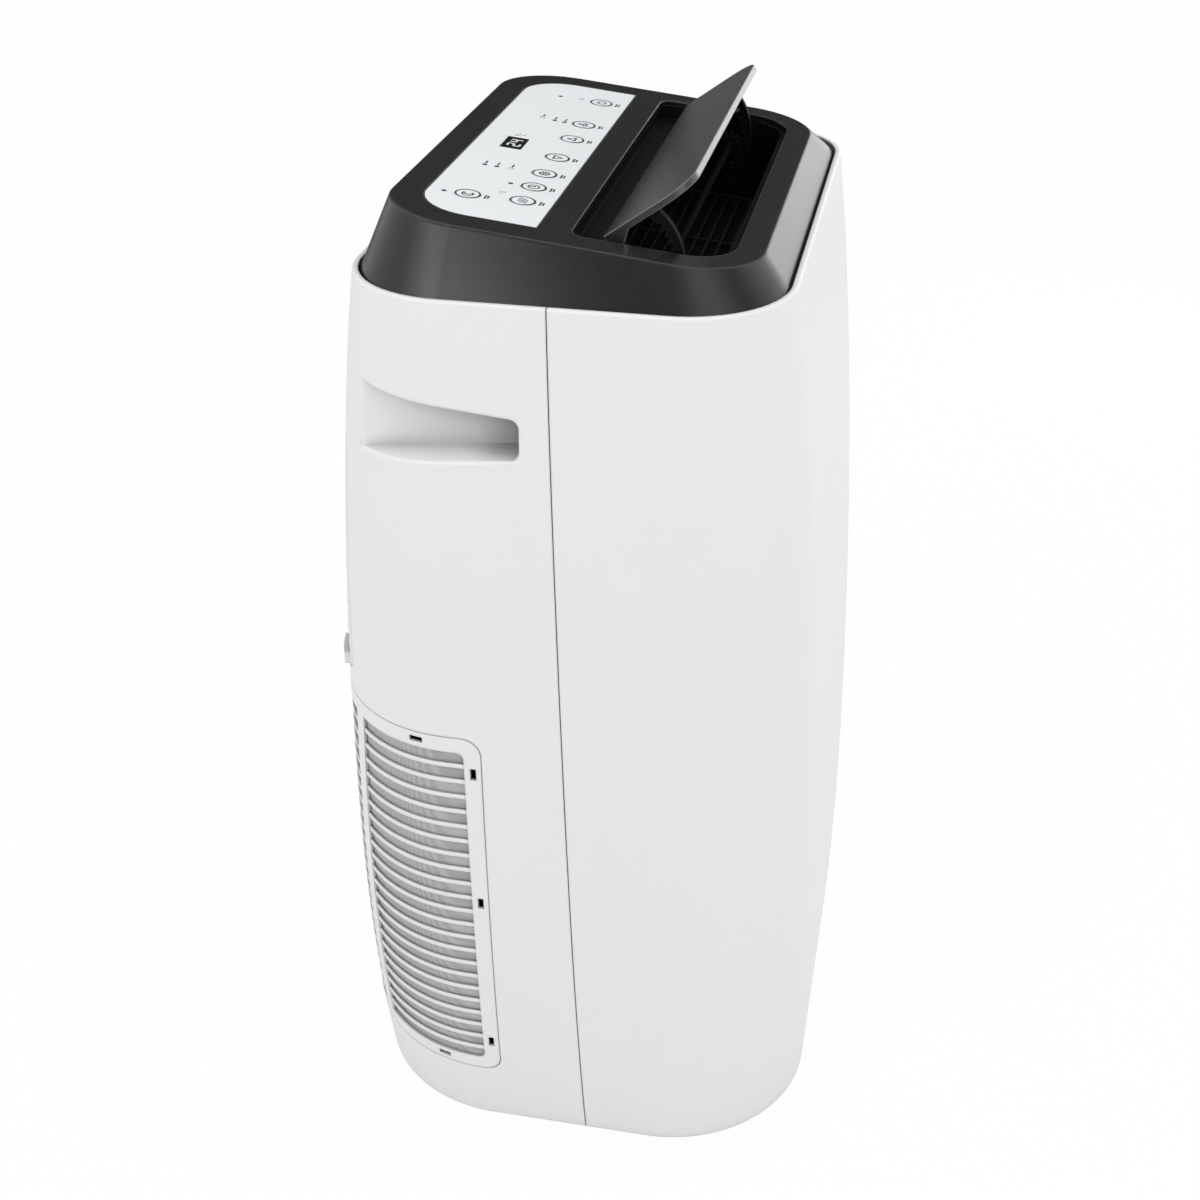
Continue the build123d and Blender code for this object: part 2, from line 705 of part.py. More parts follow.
def make_top_cover():
    outer = loft([Pos(0, 0, COVER_FOOT_Z) * rim_outline(0), TOP * face_outline(0)])
    face = outer.faces().sort_by(Axis.Z)[-1]
    outer = fillet(face.edges(), CREASE_ROUND)
    outer += extrude(Pos(0, 0, COVER_SEAT_Z) * rim_outline(0), COVER_SKIRT)
    inner = loft(
        [
            Pos(0, 0, COVER_FOOT_Z) * rim_outline(COVER_WALL),
            TOP.offset(-COVER_WALL) * face_outline(COVER_WALL),
        ]
    )
    inner += extrude(Pos(0, 0, COVER_SEAT_Z) * rim_outline(COVER_WALL), COVER_SKIRT)
    cover = outer - inner
    cover -= on_top(outlet_outline(0, 0), COVER_WALL, -2 * COVER_WALL)
    cover -= on_top(label_outline(PANEL_GAP), COVER_WALL, -LABEL_THICK)
    cover -= on_top(display_outline(PANEL_GAP - DISPLAY_RIM), 0, -2 * COVER_WALL)
    room = KEY_TRAVEL + TOUCH_GAP
    for place in KEY_PLACES.values():
        cover -= on_top(Pos(*place) * Circle(KEY_RADIUS + KEY_GAP), 0, -LABEL_THICK - room)
        cover -= on_top(Pos(*place) * Circle(KEY_STEM_RADIUS + KEY_GAP), 0, -2 * COVER_WALL)
    for place in board_posts():
        cover += on_top(Pos(*place) * Circle(BOARD_POST_RADIUS), -COVER_WALL, -BOARD_DEPTH)
    PARTS["top_cover"] = cover


def make_controls():
    label = on_top(label_outline(0), 0, -LABEL_THICK)
    label -= on_top(display_outline(PANEL_GAP), 0, -LABEL_THICK)
    switches = []
    stem_end = COVER_WALL + BOARD_THICK + KEY_TRAVEL
    switch_top = stem_end + KEY_TRAVEL + TOUCH_GAP / 2
    button_foot = BOARD_DEPTH - SWITCH_BODY
    for name, place in KEY_PLACES.items():
        label -= on_top(Pos(*place) * Circle(KEY_RADIUS + KEY_GAP), 0, -LABEL_THICK)
        key = on_top(Pos(*place) * Circle(KEY_RADIUS), KEY_PROUD, -LABEL_THICK)
        PARTS[name] = key + on_top(Pos(*place) * Circle(KEY_STEM_RADIUS), 0, -stem_end)
        base = on_top(Pos(*place) * Rectangle(SWITCH_SIZE, SWITCH_SIZE), -button_foot, -BOARD_DEPTH)
        button = on_top(Pos(*place) * Circle(SWITCH_BUTTON_RADIUS), -switch_top, -button_foot)
        switches.append(base + button)
    PARTS["control_label"] = label
    PARTS["key_switches"] = Compound(children=switches)
    window = on_top(display_outline(0), 0, -LABEL_THICK)
    window += on_top(display_outline(-DISPLAY_RIM), -LABEL_THICK, -BOARD_DEPTH)
    PARTS["display_window"] = window
    board = spread(
        -LABEL_HALF_WIDTH + BOARD_MARGIN,
        LABEL_HALF_WIDTH - BOARD_MARGIN,
        LABEL_FRONT + BOARD_MARGIN / 2,
        LABEL_REAR - BOARD_MARGIN / 2,
    )
    PARTS["control_board"] = on_top(board, -BOARD_DEPTH, -BOARD_DEPTH - BOARD_THICK)


def pinion_centre():
    angle = radians(MESH_ANGLE)
    reach = RACK_RADIUS - PITCH_RADIUS
    return HINGE + Vector(0, cos(angle), sin(angle)) * reach


def scroll_span():
    """Left and right faces of the blower scroll's upward outlet."""
    radius = BLOWER_RADIUS + SCROLL_ROOM
    return BLOWER_X - radius, BLOWER_X + BLOWER_OUTLET_REACH


def make_outlet():
    duct = on_top(outlet_outline(DUCT_WALL, 0), -COVER_WALL, -DUCT_DEPTH)
    shelf = FLAP_THICK + OUTLET_LEDGE_GAP
    duct -= on_top(outlet_outline(0, 0), 0, -shelf)
    duct -= on_top(outlet_outline(0, OUTLET_LEDGE), 0, -DUCT_DEPTH + DUCT_WALL)
    floor = spread(-OUTLET_HALF_WIDTH, OUTLET_HALF_WIDTH, RECESS_FRONT, OUTLET_REAR)
    duct += on_top(floor, -RECESS_DEPTH, -RECESS_DEPTH - DUCT_WALL)
    left, right = scroll_span()
    duct -= block(
        (left + SHEET, BLOWER_SCROLL_Y + SHEET, BELLY_Z),
        (right - SHEET, BLOWER_SCROLL_Y + BLOWER_SCROLL_DEPTH - SHEET, HINGE.Z - SHEET),
    )
    shaft = pinion_centre()
    outside = OUTLET_HALF_WIDTH + DUCT_WALL
    duct -= rod_x(-FAR, FAR, shaft.Y, shaft.Z, SHAFT_RADIUS + FIT_GAP)
    duct -= rod_x(-FAR, FAR, HINGE.Y, HINGE.Z, HINGE_PIN_RADIUS)
    PARTS["outlet_duct"] = duct

    frame = outlet_outline(0, OUTLET_LEDGE)
    bars = []
    rows = int((OUTLET_REAR - OUTLET_FRONT - OUTLET_LEDGE) / GUARD_PITCH)
    for row in range(1, rows + 1):
        y = OUTLET_REAR - row * GUARD_PITCH
        bars.append(spread(-OUTLET_HALF_WIDTH, OUTLET_HALF_WIDTH, y, y + GUARD_BAR))
    for rib in range(GUARD_RIBS):
        x = (rib + 1) * 2 * OUTLET_HALF_WIDTH / (GUARD_RIBS + 1) - OUTLET_HALF_WIDTH
        bars.append(spread(x - GUARD_BAR / 2, x + GUARD_BAR / 2, OUTLET_FRONT, OUTLET_REAR))
    rim = frame - outlet_outline(-GUARD_BAR, OUTLET_LEDGE)
    guard_low = -DUCT_DEPTH + DUCT_WALL
    lattice = rim
    for bar in bars:
        lattice += bar & frame
    PARTS["outlet_guard"] = on_top(lattice, guard_low + GUARD_HEIGHT, guard_low)

    pins = []
    for side in (-1, 1):
        inner = side * (FLAP_HALF_WIDTH - LUG_WIDTH)
        ends = sorted((inner, side * outside))
        pins.append(rod_x(*ends, HINGE.Y, HINGE.Z, HINGE_PIN_RADIUS))
    PARTS["flap_hinge_pins"] = Compound(children=pins)


def involute(angle):
    return tan(angle) - angle


def tooth(pitch_radius, low, high, thickness):
    """One involute tooth about the sketch's X axis, between two radii."""
    pressure = radians(PRESSURE_ANGLE)
    base = pitch_radius * cos(pressure)
    flank = []
    for step in range(FLANK_STEPS + 1):
        radius = low + (high - low) * step / FLANK_STEPS
        turned = involute(acos(min(1.0, base / radius)))
        half = thickness / (2 * pitch_radius) + involute(pressure) - turned
        flank.append((radius * cos(half), radius * sin(half)))
    lower = [(x, -y) for x, y in flank]
    return Polygon(*lower, *reversed(flank), align=None)


def make_flap():
    front = OUTLET_FRONT + FLAP_FRONT_GAP
    outline = spread(-FLAP_HALF_WIDTH, FLAP_HALF_WIDTH, front, FLAP_REAR)
    outline = fillet(outline.vertices().group_by(Axis.Y)[0], FLAP_FRONT_ROUND)
    plate = on_top(outline, 0, -FLAP_THICK)
    upper = plate.faces().sort_by(Axis.Z)[-1]
    plate = fillet(upper.edges(), FLAP_EDGE_ROUND)
    rear = FLAP_REAR - HINGE_Y
    inside = HINGE_DEPTH - FLAP_THICK / 2
    low = KNUCKLE_RADIUS * cos(radians(45))
    lug = Polygon(
        (rear, inside), (rear - LUG_LENGTH, inside), (-low, -low), (KNUCKLE_RADIUS, 0), align=None
    )
    lug = lug + Circle(KNUCKLE_RADIUS) - Circle(HINGE_PIN_RADIUS + FIT_GAP)
    lug = Pos(HINGE.Y, HINGE.Z) * Rot(0, 0, COVER_SLOPE) * lug
    flap = plate
    for side in (-1, 1):
        ends = sorted((side * (FLAP_HALF_WIDTH - LUG_WIDTH), side * FLAP_HALF_WIDTH))
        flap += prism_x(lug, *ends)

    half_pitch = pi * MODULE / 2
    tip = RACK_RADIUS - RACK_TIP
    root = RACK_RADIUS + TOOTH_ROOT
    rim = root + RACK_RIM
    start = 180 + COVER_SLOPE - RACK_OVERLAP
    sweep_angle = RACK_SWEEP + RACK_OVERLAP
    ends = [radians(start), radians(start + sweep_angle)]
    sides = [
        Line((tip * cos(end), tip * sin(end)), (rim * cos(end), rim * sin(end))) for end in ends
    ]
    arcs = [CenterArc((0, 0), radius, start, sweep_angle) for radius in (tip, rim)]
    arm = make_face([*arcs, *sides])
    space = tooth(RACK_RADIUS, tip - RACK_TIP, root, half_pitch + BACKLASH / 2)
    step = 360 / RACK_TEETH
    first = -int((MESH_ANGLE - start - RACK_BARE) / step)
    last = int((start + sweep_angle - MESH_ANGLE) / step)
    for index in range(first, last + 1):
        arm -= Rot(0, 0, MESH_ANGLE + index * step) * space
    arms = []
    for x in (-RACK_X, RACK_X):
        solid = prism_x(Pos(HINGE.Y, HINGE.Z) * arm, x - RACK_WIDTH / 2, x + RACK_WIDTH / 2)
        arms.append((solid - flap).rotate(HINGE_AXIS, -FLAP_OPEN))
    PARTS["outlet_flap"] = flap.rotate(HINGE_AXIS, -FLAP_OPEN)
    PARTS["flap_rack_arms"] = Compound(children=arms)


def make_swing_drive():
    centre = pinion_centre()
    outside = OUTLET_HALF_WIDTH + DUCT_WALL
    motor_end = outside + SWING_MOTOR_LENGTH
    shaft_end = outside + SWING_SHAFT_REACH
    PARTS["swing_shaft"] = rod_x(-outside, shaft_end, centre.Y, centre.Z, SHAFT_RADIUS)
    root = PITCH_RADIUS - TOOTH_ROOT
    gear = Circle(root)
    thickness = (pi * MODULE - BACKLASH) / 2
    one = tooth(PITCH_RADIUS, root - BACKLASH, PITCH_RADIUS + TOOTH_TIP, thickness)
    turned = MESH_ANGLE - FLAP_OPEN * RACK_TEETH / PINION_TEETH
    for index in range(PINION_TEETH):
        gear += Rot(0, 0, turned + index * 360 / PINION_TEETH) * one
    gear -= Circle(SHAFT_RADIUS)
    gears = []
    for x in (-RACK_X, RACK_X):
        gears.append(
            prism_x(Pos(centre.Y, centre.Z) * gear, x - RACK_WIDTH / 2, x + RACK_WIDTH / 2)
        )
    PARTS["swing_pinions"] = Compound(children=gears)
    motor = rod_x(outside, motor_end, centre.Y, centre.Z, SWING_MOTOR_RADIUS)
    bore_end = shaft_end + TOUCH_GAP
    PARTS["swing_motor"] = motor - rod_x(0, bore_end, centre.Y, centre.Z, SHAFT_RADIUS + FIT_GAP)


def castor_places():
    names = ("front_left", "front_right", "rear_left", "rear_right")
    spots = [(x, y) for y in (-CASTOR_Y, CASTOR_Y) for x in (-CASTOR_X, CASTOR_X)]
    return dict(zip(names, spots))


def foot_outline(inset):
    return RectangleRounded(
        2 * (FOOT_HALF_WIDTH - inset), 2 * (FOOT_HALF_DEPTH - inset), FOOT_CORNER - inset
    )


def grommet_places():
    places = []
    for angle in COMPRESSOR_FOOT_ANGLES:
        turn = radians(angle)
        x = COMPRESSOR_X + COMPRESSOR_FOOT_REACH * cos(turn)
        y = COMPRESSOR_Y + COMPRESSOR_FOOT_REACH * sin(turn)
        places.append((x, y))
    return places


def make_base():
    pan = extrude(Pos(0, 0, PAN_LOW) * foot_outline(WALL + PANEL_GAP), PAN_THICK)
    rim = foot_outline(PAN_RIM_INSET) - foot_outline(PAN_RIM_INSET + PAN_RIM_THICK)
    pan += extrude(Pos(0, 0, PAN_TOP) * rim, WELL_TOP - PAN_TOP)
    for x, y in grommet_places():
        pan += rod_z(x, y, PAN_LOW, WELL_TOP, GROMMET_RADIUS + WELL_WALL)
    for x, y in castor_places().values():
        pan += rod_z(x, y, PAN_LOW, WELL_TOP, WELL_RADIUS + WELL_WALL)
        pan += rod_z(x, y, PAN_LOW, STEM_TOP + WELL_WALL, STEM_RADIUS + STEM_BOSS_WALL)
    spout_end = drain_face() - DRAIN_HEAD - TOUCH_GAP
    spout_start = FOOT_HALF_DEPTH - PAN_RIM_INSET - PAN_RIM_THICK
    spout_radius = DRAIN_BORE + DRAIN_SPOUT_WALL
    pan += rod_y(DRAIN_X, spout_start, spout_end, drain_z(), spout_radius)
    pan -= rod_y(DRAIN_X, spout_start - WALL, spout_end, drain_z(), DRAIN_BORE)
    for x, y in castor_places().values():
        pan -= rod_z(x, y, 0, WELL_CEILING, WELL_RADIUS)
        pan -= rod_z(x, y, 0, STEM_TOP + TOUCH_GAP, STEM_RADIUS + FIT_GAP)
    screws = []
    for x, y in tab_places(-1) + tab_places(1):
        pan -= rod_z(x, y, 0, PAN_TOP, SCREW_RADIUS)
        head = rod_z(x, y, PAN_LOW - SCREW_HEAD_HEIGHT, PAN_LOW, SCREW_HEAD_RADIUS)
        screws.append(head + rod_z(x, y, PAN_LOW, PAN_LOW + SCREW_LENGTH, SCREW_RADIUS))
    PARTS["base_pan"] = pan
    PARTS["base_screws"] = Compound(children=screws)

    plug = rod_y(DRAIN_X, drain_face() - DRAIN_HEAD, drain_face(), drain_z(), DRAIN_HEAD_RADIUS)
    stem_start = drain_face() - DRAIN_HEAD - DRAIN_STEM
    plug += rod_y(DRAIN_X, stem_start, drain_face(), drain_z(), DRAIN_BORE - FIT_GAP)
    PARTS["drain_plug"] = plug

    face = half_depth(gland_z())
    gland = rod_y(GLAND_X, face - GLAND_LENGTH, face, gland_z(), GLAND_RADIUS)
    gland += rod_y(GLAND_X, face, face + GLAND_FLANGE, gland_z(), GLAND_FLANGE_RADIUS)
    PARTS["cord_gland"] = gland - rod_y(GLAND_X, 0, FAR, gland_z(), GLAND_BORE)


def drain_face():
    return half_depth(drain_z())


def make_castors():
    for place, (x, y) in castor_places().items():
        wheel_y = y + CASTOR_TRAIL
        half = WHEEL_WIDTH / 2
        wheel = rod_x(x - half, x + half, wheel_y, WHEEL_RADIUS, WHEEL_RADIUS)
        wheel = fillet(wheel.edges(), WHEEL_ROUND)
        bore = AXLE_RADIUS + FIT_GAP
        PARTS["castor_wheel_" + place] = wheel - rod_x(
            x - half, x + half, wheel_y, WHEEL_RADIUS, bore
        )
        fork = rod_z(x, y, FORK_LOW, FORK_TOP, FORK_PLATE_RADIUS)
        fork += rod_z(x, y, FORK_TOP, STEM_TOP, STEM_RADIUS)
        cheek_in = half + CHEEK_GAP
        cheek_out = cheek_in + CHEEK
        low = WHEEL_RADIUS - 2 * AXLE_RADIUS
        for side in (-1, 1):
            ends = sorted((x + side * cheek_in, x + side * cheek_out))
            fork += block(
                (ends[0], wheel_y - 2 * AXLE_RADIUS - FORK_PLATE, low),
                (ends[1], wheel_y + 2 * AXLE_RADIUS, FORK_TOP),
            )
        fork -= rod_x(x - FAR, x + FAR, wheel_y, WHEEL_RADIUS, AXLE_RADIUS)
        PARTS["castor_fork_" + place] = fork
        PARTS["castor_axle_" + place] = rod_x(
            x - cheek_out, x + cheek_out, wheel_y, WHEEL_RADIUS, AXLE_RADIUS
        )


def coil(x0, x1, y0, z0, z1):
    """A finned coil: fins on a row of tubes, between two end plates."""
    y1 = y0 + COIL_DEPTH
    block_solid = block((x0, y0, z0), (x0 + COIL_PLATE, y1, z1))
    leaves = [block((x1 - COIL_PLATE, y0, z0), (x1, y1, z1))]
    fins = int((x1 - x0) / COIL_FIN_PITCH)
    for index in range(1, fins):
        x = x0 + index * COIL_FIN_PITCH
        leaves.append(block((x, y0, z0), (x + COIL_FIN, y1, z1)))
    rows = int((z1 - z0) / COIL_TUBE_PITCH)
    for row in range(rows):
        z = z0 + (row + 0.5) * (z1 - z0) / rows
        leaves.append(rod_x(x0, x1, y0 + COIL_DEPTH / 2, z, COIL_TUBE_RADIUS))
    return block_solid + leaves


def fan_wheel(x, y0, y1, z, radius, shaft_start):
    """A centrifugal wheel on its shaft, with its back plate at y0."""
    ring = rod_y(x, y1 - SHEET, y1, z, radius)
    wheel = ring - rod_y(x, y0, y1, z, radius - FAN_BLADE_DEPTH)
    wheel += rod_y(x, y0, y0 + SHEET, z, radius)
    pieces = [rod_y(x, y0, y0 + FAN_HUB_LENGTH, z, FAN_HUB_RADIUS)]
    pieces.append(rod_y(x, shaft_start, y0 + FAN_HUB_RADIUS, z, FAN_SHAFT_RADIUS))
    middle = radius - FAN_BLADE_DEPTH / 2 - FAN_BLADE / 2
    blade = Box(FAN_BLADE_DEPTH, y1 - y0, FAN_BLADE)
    for index in range(FAN_BLADES):
        turn = Rot(0, index * 360 / FAN_BLADES, 0)
        lean = Pos(middle, 0, 0) * Rot(0, FAN_BLADE_LEAN, 0)
        pieces.append(Pos(x, (y0 + y1) / 2, z) * turn * lean * blade)
    return (wheel + pieces) & rod_y(x, shaft_start, y1, z, radius)


def motor(x, y1, z):
    """A fan motor in front of a scroll, bored for the wheel's shaft."""
    can = rod_y(x, y1 - MOTOR_LENGTH, y1, z, MOTOR_RADIUS)
    can = fillet(can.edges().group_by(Axis.Y)[0], MOTOR_ROUND)
    bore_start = y1 - MOTOR_SHAFT_REACH - TOUCH_GAP
    return can - rod_y(x, bore_start, y1, z, FAN_SHAFT_RADIUS + FIT_GAP)


def make_fans():
    fan_z = HEM_Z + CONDENSER_FAN_RISE
    y0 = CONDENSER_SCROLL_Y
    y1 = y0 + CONDENSER_SCROLL_DEPTH
    radius = CONDENSER_FAN_RADIUS + SCROLL_ROOM
    reach = EXHAUST_RADIUS + EXHAUST_WALL + SHEET
    left = EXHAUST_X - reach
    right = EXHAUST_X + reach
    high = exhaust_z() + reach
    outer = Pos(CONDENSER_FAN_X, fan_z) * Circle(radius) + spread(left, right, fan_z, high)
    inner = Pos(CONDENSER_FAN_X, fan_z) * Circle(radius - SHEET)
    inner += spread(left + SHEET, right - SHEET, fan_z + SHEET, high - SHEET)
    scroll = prism_y(outer, y0, y1) - prism_y(inner, y0 + SHEET, y1 - SHEET)
    scroll += block(
        (CONDENSER_FAN_X - FAN_STAND_HALF_WIDTH, y0, PAN_TOP),
        (CONDENSER_FAN_X + FAN_STAND_HALF_WIDTH, y0 + SHEET, fan_z - radius + 2 * SHEET),
    )
    inlet = CONDENSER_FAN_RADIUS - FAN_BLADE_DEPTH
    scroll -= rod_y(CONDENSER_FAN_X, y1 - 2 * SHEET, FAR, fan_z, inlet)
    scroll -= rod_y(CONDENSER_FAN_X, y0, y0 + SHEET, fan_z, FAN_SHAFT_RADIUS + SHEET)
    scroll -= rod_y(EXHAUST_X, y1 - 2 * SHEET, FAR, exhaust_z(), EXHAUST_RADIUS)
    PARTS["condenser_scroll"] = scroll
    PARTS["condenser_motor"] = motor(CONDENSER_FAN_X, y0, fan_z)
    PARTS["condenser_fan_wheel"] = fan_wheel(
        CONDENSER_FAN_X,
        y0 + SHEET + FAN_END_ROOM,
        y1 - SHEET - FAN_END_ROOM,
        fan_z,
        CONDENSER_FAN_RADIUS,
        y0 - MOTOR_SHAFT_REACH,
    )
    collar_end = half_depth(exhaust_z()) - EXHAUST_SUNK
    tube = rod_y(EXHAUST_X, y1, collar_end, exhaust_z(), EXHAUST_RADIUS + EXHAUST_WALL)
    PARTS["exhaust_collar"] = tube - rod_y(EXHAUST_X, y1, FAR, exhaust_z(), EXHAUST_RADIUS)

    blower_z = DECK_TOP + BLOWER_ABOVE_DECK
    y0 = BLOWER_SCROLL_Y
    y1 = y0 + BLOWER_SCROLL_DEPTH
    radius = BLOWER_RADIUS + SCROLL_ROOM
    left, right = scroll_span()
    outer = Pos(BLOWER_X, blower_z) * Circle(radius) + spread(left, right, blower_z, RIM_Z)
    inner = Pos(BLOWER_X, blower_z) * Circle(radius - SHEET)
    inner += spread(left + SHEET, right - SHEET, blower_z, RIM_Z)
    scroll = prism_y(outer, y0, y1) - prism_y(inner, y0 + SHEET, y1 - SHEET)
    scroll = split(scroll, TOP.offset(-DUCT_DEPTH), keep=Keep.BOTTOM)
    scroll += block(
        (BLOWER_X - FAN_STAND_HALF_WIDTH, y0, DECK_TOP),
        (BLOWER_X + FAN_STAND_HALF_WIDTH, y0 + SHEET, blower_z - radius + 2 * SHEET),
    )
    inlet = BLOWER_RADIUS - FAN_BLADE_DEPTH
    scroll -= rod_y(BLOWER_X, y1 - 2 * SHEET, FAR, blower_z, inlet)
    scroll -= rod_y(BLOWER_X, y0, y0 + SHEET, blower_z, FAN_SHAFT_RADIUS + SHEET)
    PARTS["blower_scroll"] = scroll
    PARTS["blower_motor"] = motor(BLOWER_X, y0, blower_z)
    PARTS["blower_wheel"] = fan_wheel(
        BLOWER_X,
        y0 + SHEET + FAN_END_ROOM,
        y1 - SHEET - FAN_END_ROOM,
        blower_z,
        BLOWER_RADIUS,
        y0 - MOTOR_SHAFT_REACH,
    )


def tube_along(points, radius, bend):
    path = FilletPolyline(*points, radius=bend)
    return sweep(Plane(path @ 0, z_dir=path % 0) * Circle(radius), path)


def make_circuit():
    shell_low = WELL_TOP + GROMMET_HEIGHT
    can_low = shell_low + COMPRESSOR_FOOT
    can_high = can_low + COMPRESSOR_HEIGHT
    can = rod_z(COMPRESSOR_X, COMPRESSOR_Y, can_low, can_high, COMPRESSOR_RADIUS)
    can = fillet(can.edges().group_by(Axis.Z)[-1], COMPRESSOR_DOME)
    foot = Circle(COMPRESSOR_RADIUS)
    for x, y in grommet_places():
        foot += Pos(x - COMPRESSOR_X, y - COMPRESSOR_Y) * Circle(GROMMET_RADIUS)
    can += extrude(Pos(COMPRESSOR_X, COMPRESSOR_Y, shell_low) * foot, COMPRESSOR_FOOT)
    PARTS["compressor"] = can
    grommets = [rod_z(x, y, WELL_TOP, shell_low, GROMMET_RADIUS) for x, y in grommet_places()]
    PARTS["compressor_grommets"] = Compound(children=grommets)

    turn = radians(ACCUMULATOR_ANGLE)
    reach = COMPRESSOR_RADIUS + ACCUMULATOR_RADIUS
    can_x = COMPRESSOR_X + reach * cos(turn)
    can_y = COMPRESSOR_Y + reach * sin(turn)
    tank_low = can_low + COMPRESSOR_DOME
    tank_high = tank_low + ACCUMULATOR_HEIGHT
    tank = rod_z(can_x, can_y, tank_low, tank_high, ACCUMULATOR_RADIUS)
    PARTS["accumulator"] = fillet(tank.edges(), ACCUMULATOR_ROUND)

    condenser_back = FOOT_HALF_DEPTH - PAN_RIM_INSET - PAN_RIM_THICK
    condenser_high = WELL_TOP + CONDENSER_HEIGHT
    condenser_front = condenser_back - COIL_DEPTH
    PARTS["condenser_coil"] = coil(
        -CONDENSER_HALF_WIDTH, CONDENSER_HALF_WIDTH, condenser_front, WELL_TOP, condenser_high
    )
    evaporator_front = half_depth(FILTER_HIGH) - COIL_BACK_GAP - COIL_DEPTH
    PARTS["evaporator_coil"] = coil(
        FILTER_LEFT + COIL_END_ROOM,
        FILTER_RIGHT - COIL_END_ROOM,
        evaporator_front,
        DECK_TOP,
        FILTER_HIGH,
    )

    fan_top = HEM_Z + CONDENSER_FAN_RISE + CONDENSER_FAN_RADIUS + SCROLL_ROOM
    run_z = (fan_top + DECK_Z) / 2
    gap = PIPE_GAP
    start_x = COMPRESSOR_X - DISCHARGE_OFFSET
    lane_x = EXHAUST_X - EXHAUST_RADIUS - EXHAUST_WALL - SHEET - gap
    discharge_z = min(run_z, condenser_high - gap / 2)
    discharge = tube_along(
        [
            (start_x, COMPRESSOR_Y, can_high),
            (start_x, COMPRESSOR_Y, discharge_z),
            (lane_x, COMPRESSOR_Y, discharge_z),
            (lane_x, condenser_front, discharge_z),
        ],
        PIPE_RADIUS,
        PIPE_BEND,
    )
    suction_x = lane_x - 2 * gap
    suction_z = discharge_z + gap
    riser_y = evaporator_front - gap
    intake_z = DECK_TOP + 2 * gap
    suction = tube_along(
        [
            (suction_x, evaporator_front, intake_z),
            (suction_x, riser_y, intake_z),
            (suction_x, riser_y, suction_z),
            (suction_x, can_y, suction_z),
            (can_x, can_y, suction_z),
            (can_x, can_y, tank_high),
        ],
        PIPE_RADIUS,
        PIPE_BEND,
    )
    liquid_x = BLOWER_X - LIQUID_OFFSET
    liquid_y = min(condenser_front, evaporator_front) - gap
    liquid_z = condenser_high - 2 * gap
    liquid = tube_along(
        [
            (liquid_x, condenser_front, liquid_z),
            (liquid_x, liquid_y, liquid_z),
            (liquid_x, liquid_y, intake_z),
            (liquid_x, evaporator_front, intake_z),
        ],
        LIQUID_PIPE_RADIUS,
        PIPE_BEND,
    )
    PARTS["refrigerant_pipes"] = Compound(children=[discharge, suction, liquid])

    deck = body(WALL) & slab(DECK_Z, DECK_TOP)
    reach = EXHAUST_RADIUS + EXHAUST_WALL + SHEET + TOUCH_GAP
    deck -= block(
        (EXHAUST_X - reach, CONDENSER_SCROLL_Y - TOUCH_GAP, 0),
        (EXHAUST_X + reach, CONDENSER_SCROLL_Y + CONDENSER_SCROLL_DEPTH + TOUCH_GAP, FAR),
    )
    deck -= rod_z(suction_x, riser_y, 0, FAR, PIPE_RADIUS)
    deck -= rod_z(liquid_x, liquid_y, 0, FAR, LIQUID_PIPE_RADIUS)
    PARTS["mid_deck"] = deck

    box_low = (
        ELECTRICAL_BOX_X - ELECTRICAL_BOX_WIDTH / 2,
        ELECTRICAL_BOX_Y - ELECTRICAL_BOX_DEPTH / 2,
        DECK_TOP,
    )
    box_high = (
        ELECTRICAL_BOX_X + ELECTRICAL_BOX_WIDTH / 2,
        ELECTRICAL_BOX_Y + ELECTRICAL_BOX_DEPTH / 2,
        DECK_TOP + ELECTRICAL_BOX_HEIGHT,
    )
    PARTS["electrical_box"] = fillet(block(box_low, box_high).edges().filter_by(Axis.Z), SHEET)


make_housings()
make_lower_grille()
make_upper_filter()
make_top_cover()
make_controls()
make_outlet()
make_flap()
make_swing_drive()
make_base()
make_castors()
make_fans()
make_circuit()

os.makedirs("parts", exist_ok=True)
for node, shape in PARTS.items():
    export_step(shape, f"parts/{node}.step")
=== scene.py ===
import json
from math import cos, pi, radians, sin

import bmesh
import bpy
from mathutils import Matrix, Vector


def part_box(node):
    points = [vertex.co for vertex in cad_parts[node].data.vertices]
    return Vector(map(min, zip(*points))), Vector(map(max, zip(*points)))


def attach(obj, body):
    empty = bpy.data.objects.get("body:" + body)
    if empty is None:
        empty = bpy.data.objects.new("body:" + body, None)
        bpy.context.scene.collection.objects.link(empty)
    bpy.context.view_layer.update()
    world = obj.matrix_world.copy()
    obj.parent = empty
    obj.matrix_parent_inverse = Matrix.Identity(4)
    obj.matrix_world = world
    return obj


# A portable air conditioner, in metres, in the CAD model's frame.
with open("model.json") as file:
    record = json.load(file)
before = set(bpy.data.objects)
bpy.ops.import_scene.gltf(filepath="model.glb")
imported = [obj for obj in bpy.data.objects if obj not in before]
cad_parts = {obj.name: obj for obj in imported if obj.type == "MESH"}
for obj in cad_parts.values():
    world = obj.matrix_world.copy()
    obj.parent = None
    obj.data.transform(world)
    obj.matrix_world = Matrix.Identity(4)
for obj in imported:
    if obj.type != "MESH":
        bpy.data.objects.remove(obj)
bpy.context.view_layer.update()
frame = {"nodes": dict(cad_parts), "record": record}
nodes = frame["nodes"]

MM = 0.001

# The camera at the photograph's viewing angle
CAMERA_PLACE = (-1.098, -0.2126, 1.0153)
CAMERA_AZIMUTH = -78.41
CAMERA_ELEVATION = 29.99
CAMERA_LENS = 52.5
CAMERA_SENSOR = 36.0

# The cover's sloping face, which the printed marks lie on
FACE_HEIGHT = 698.2
FACE_SLOPE = 6.42
KEY_PROUD = 0.2

# Printed strokes
INK_THICK = 0.06
ARC_STEPS = 40
LEAST_MITRE = 0.4
SAME_POINT = 1e-6

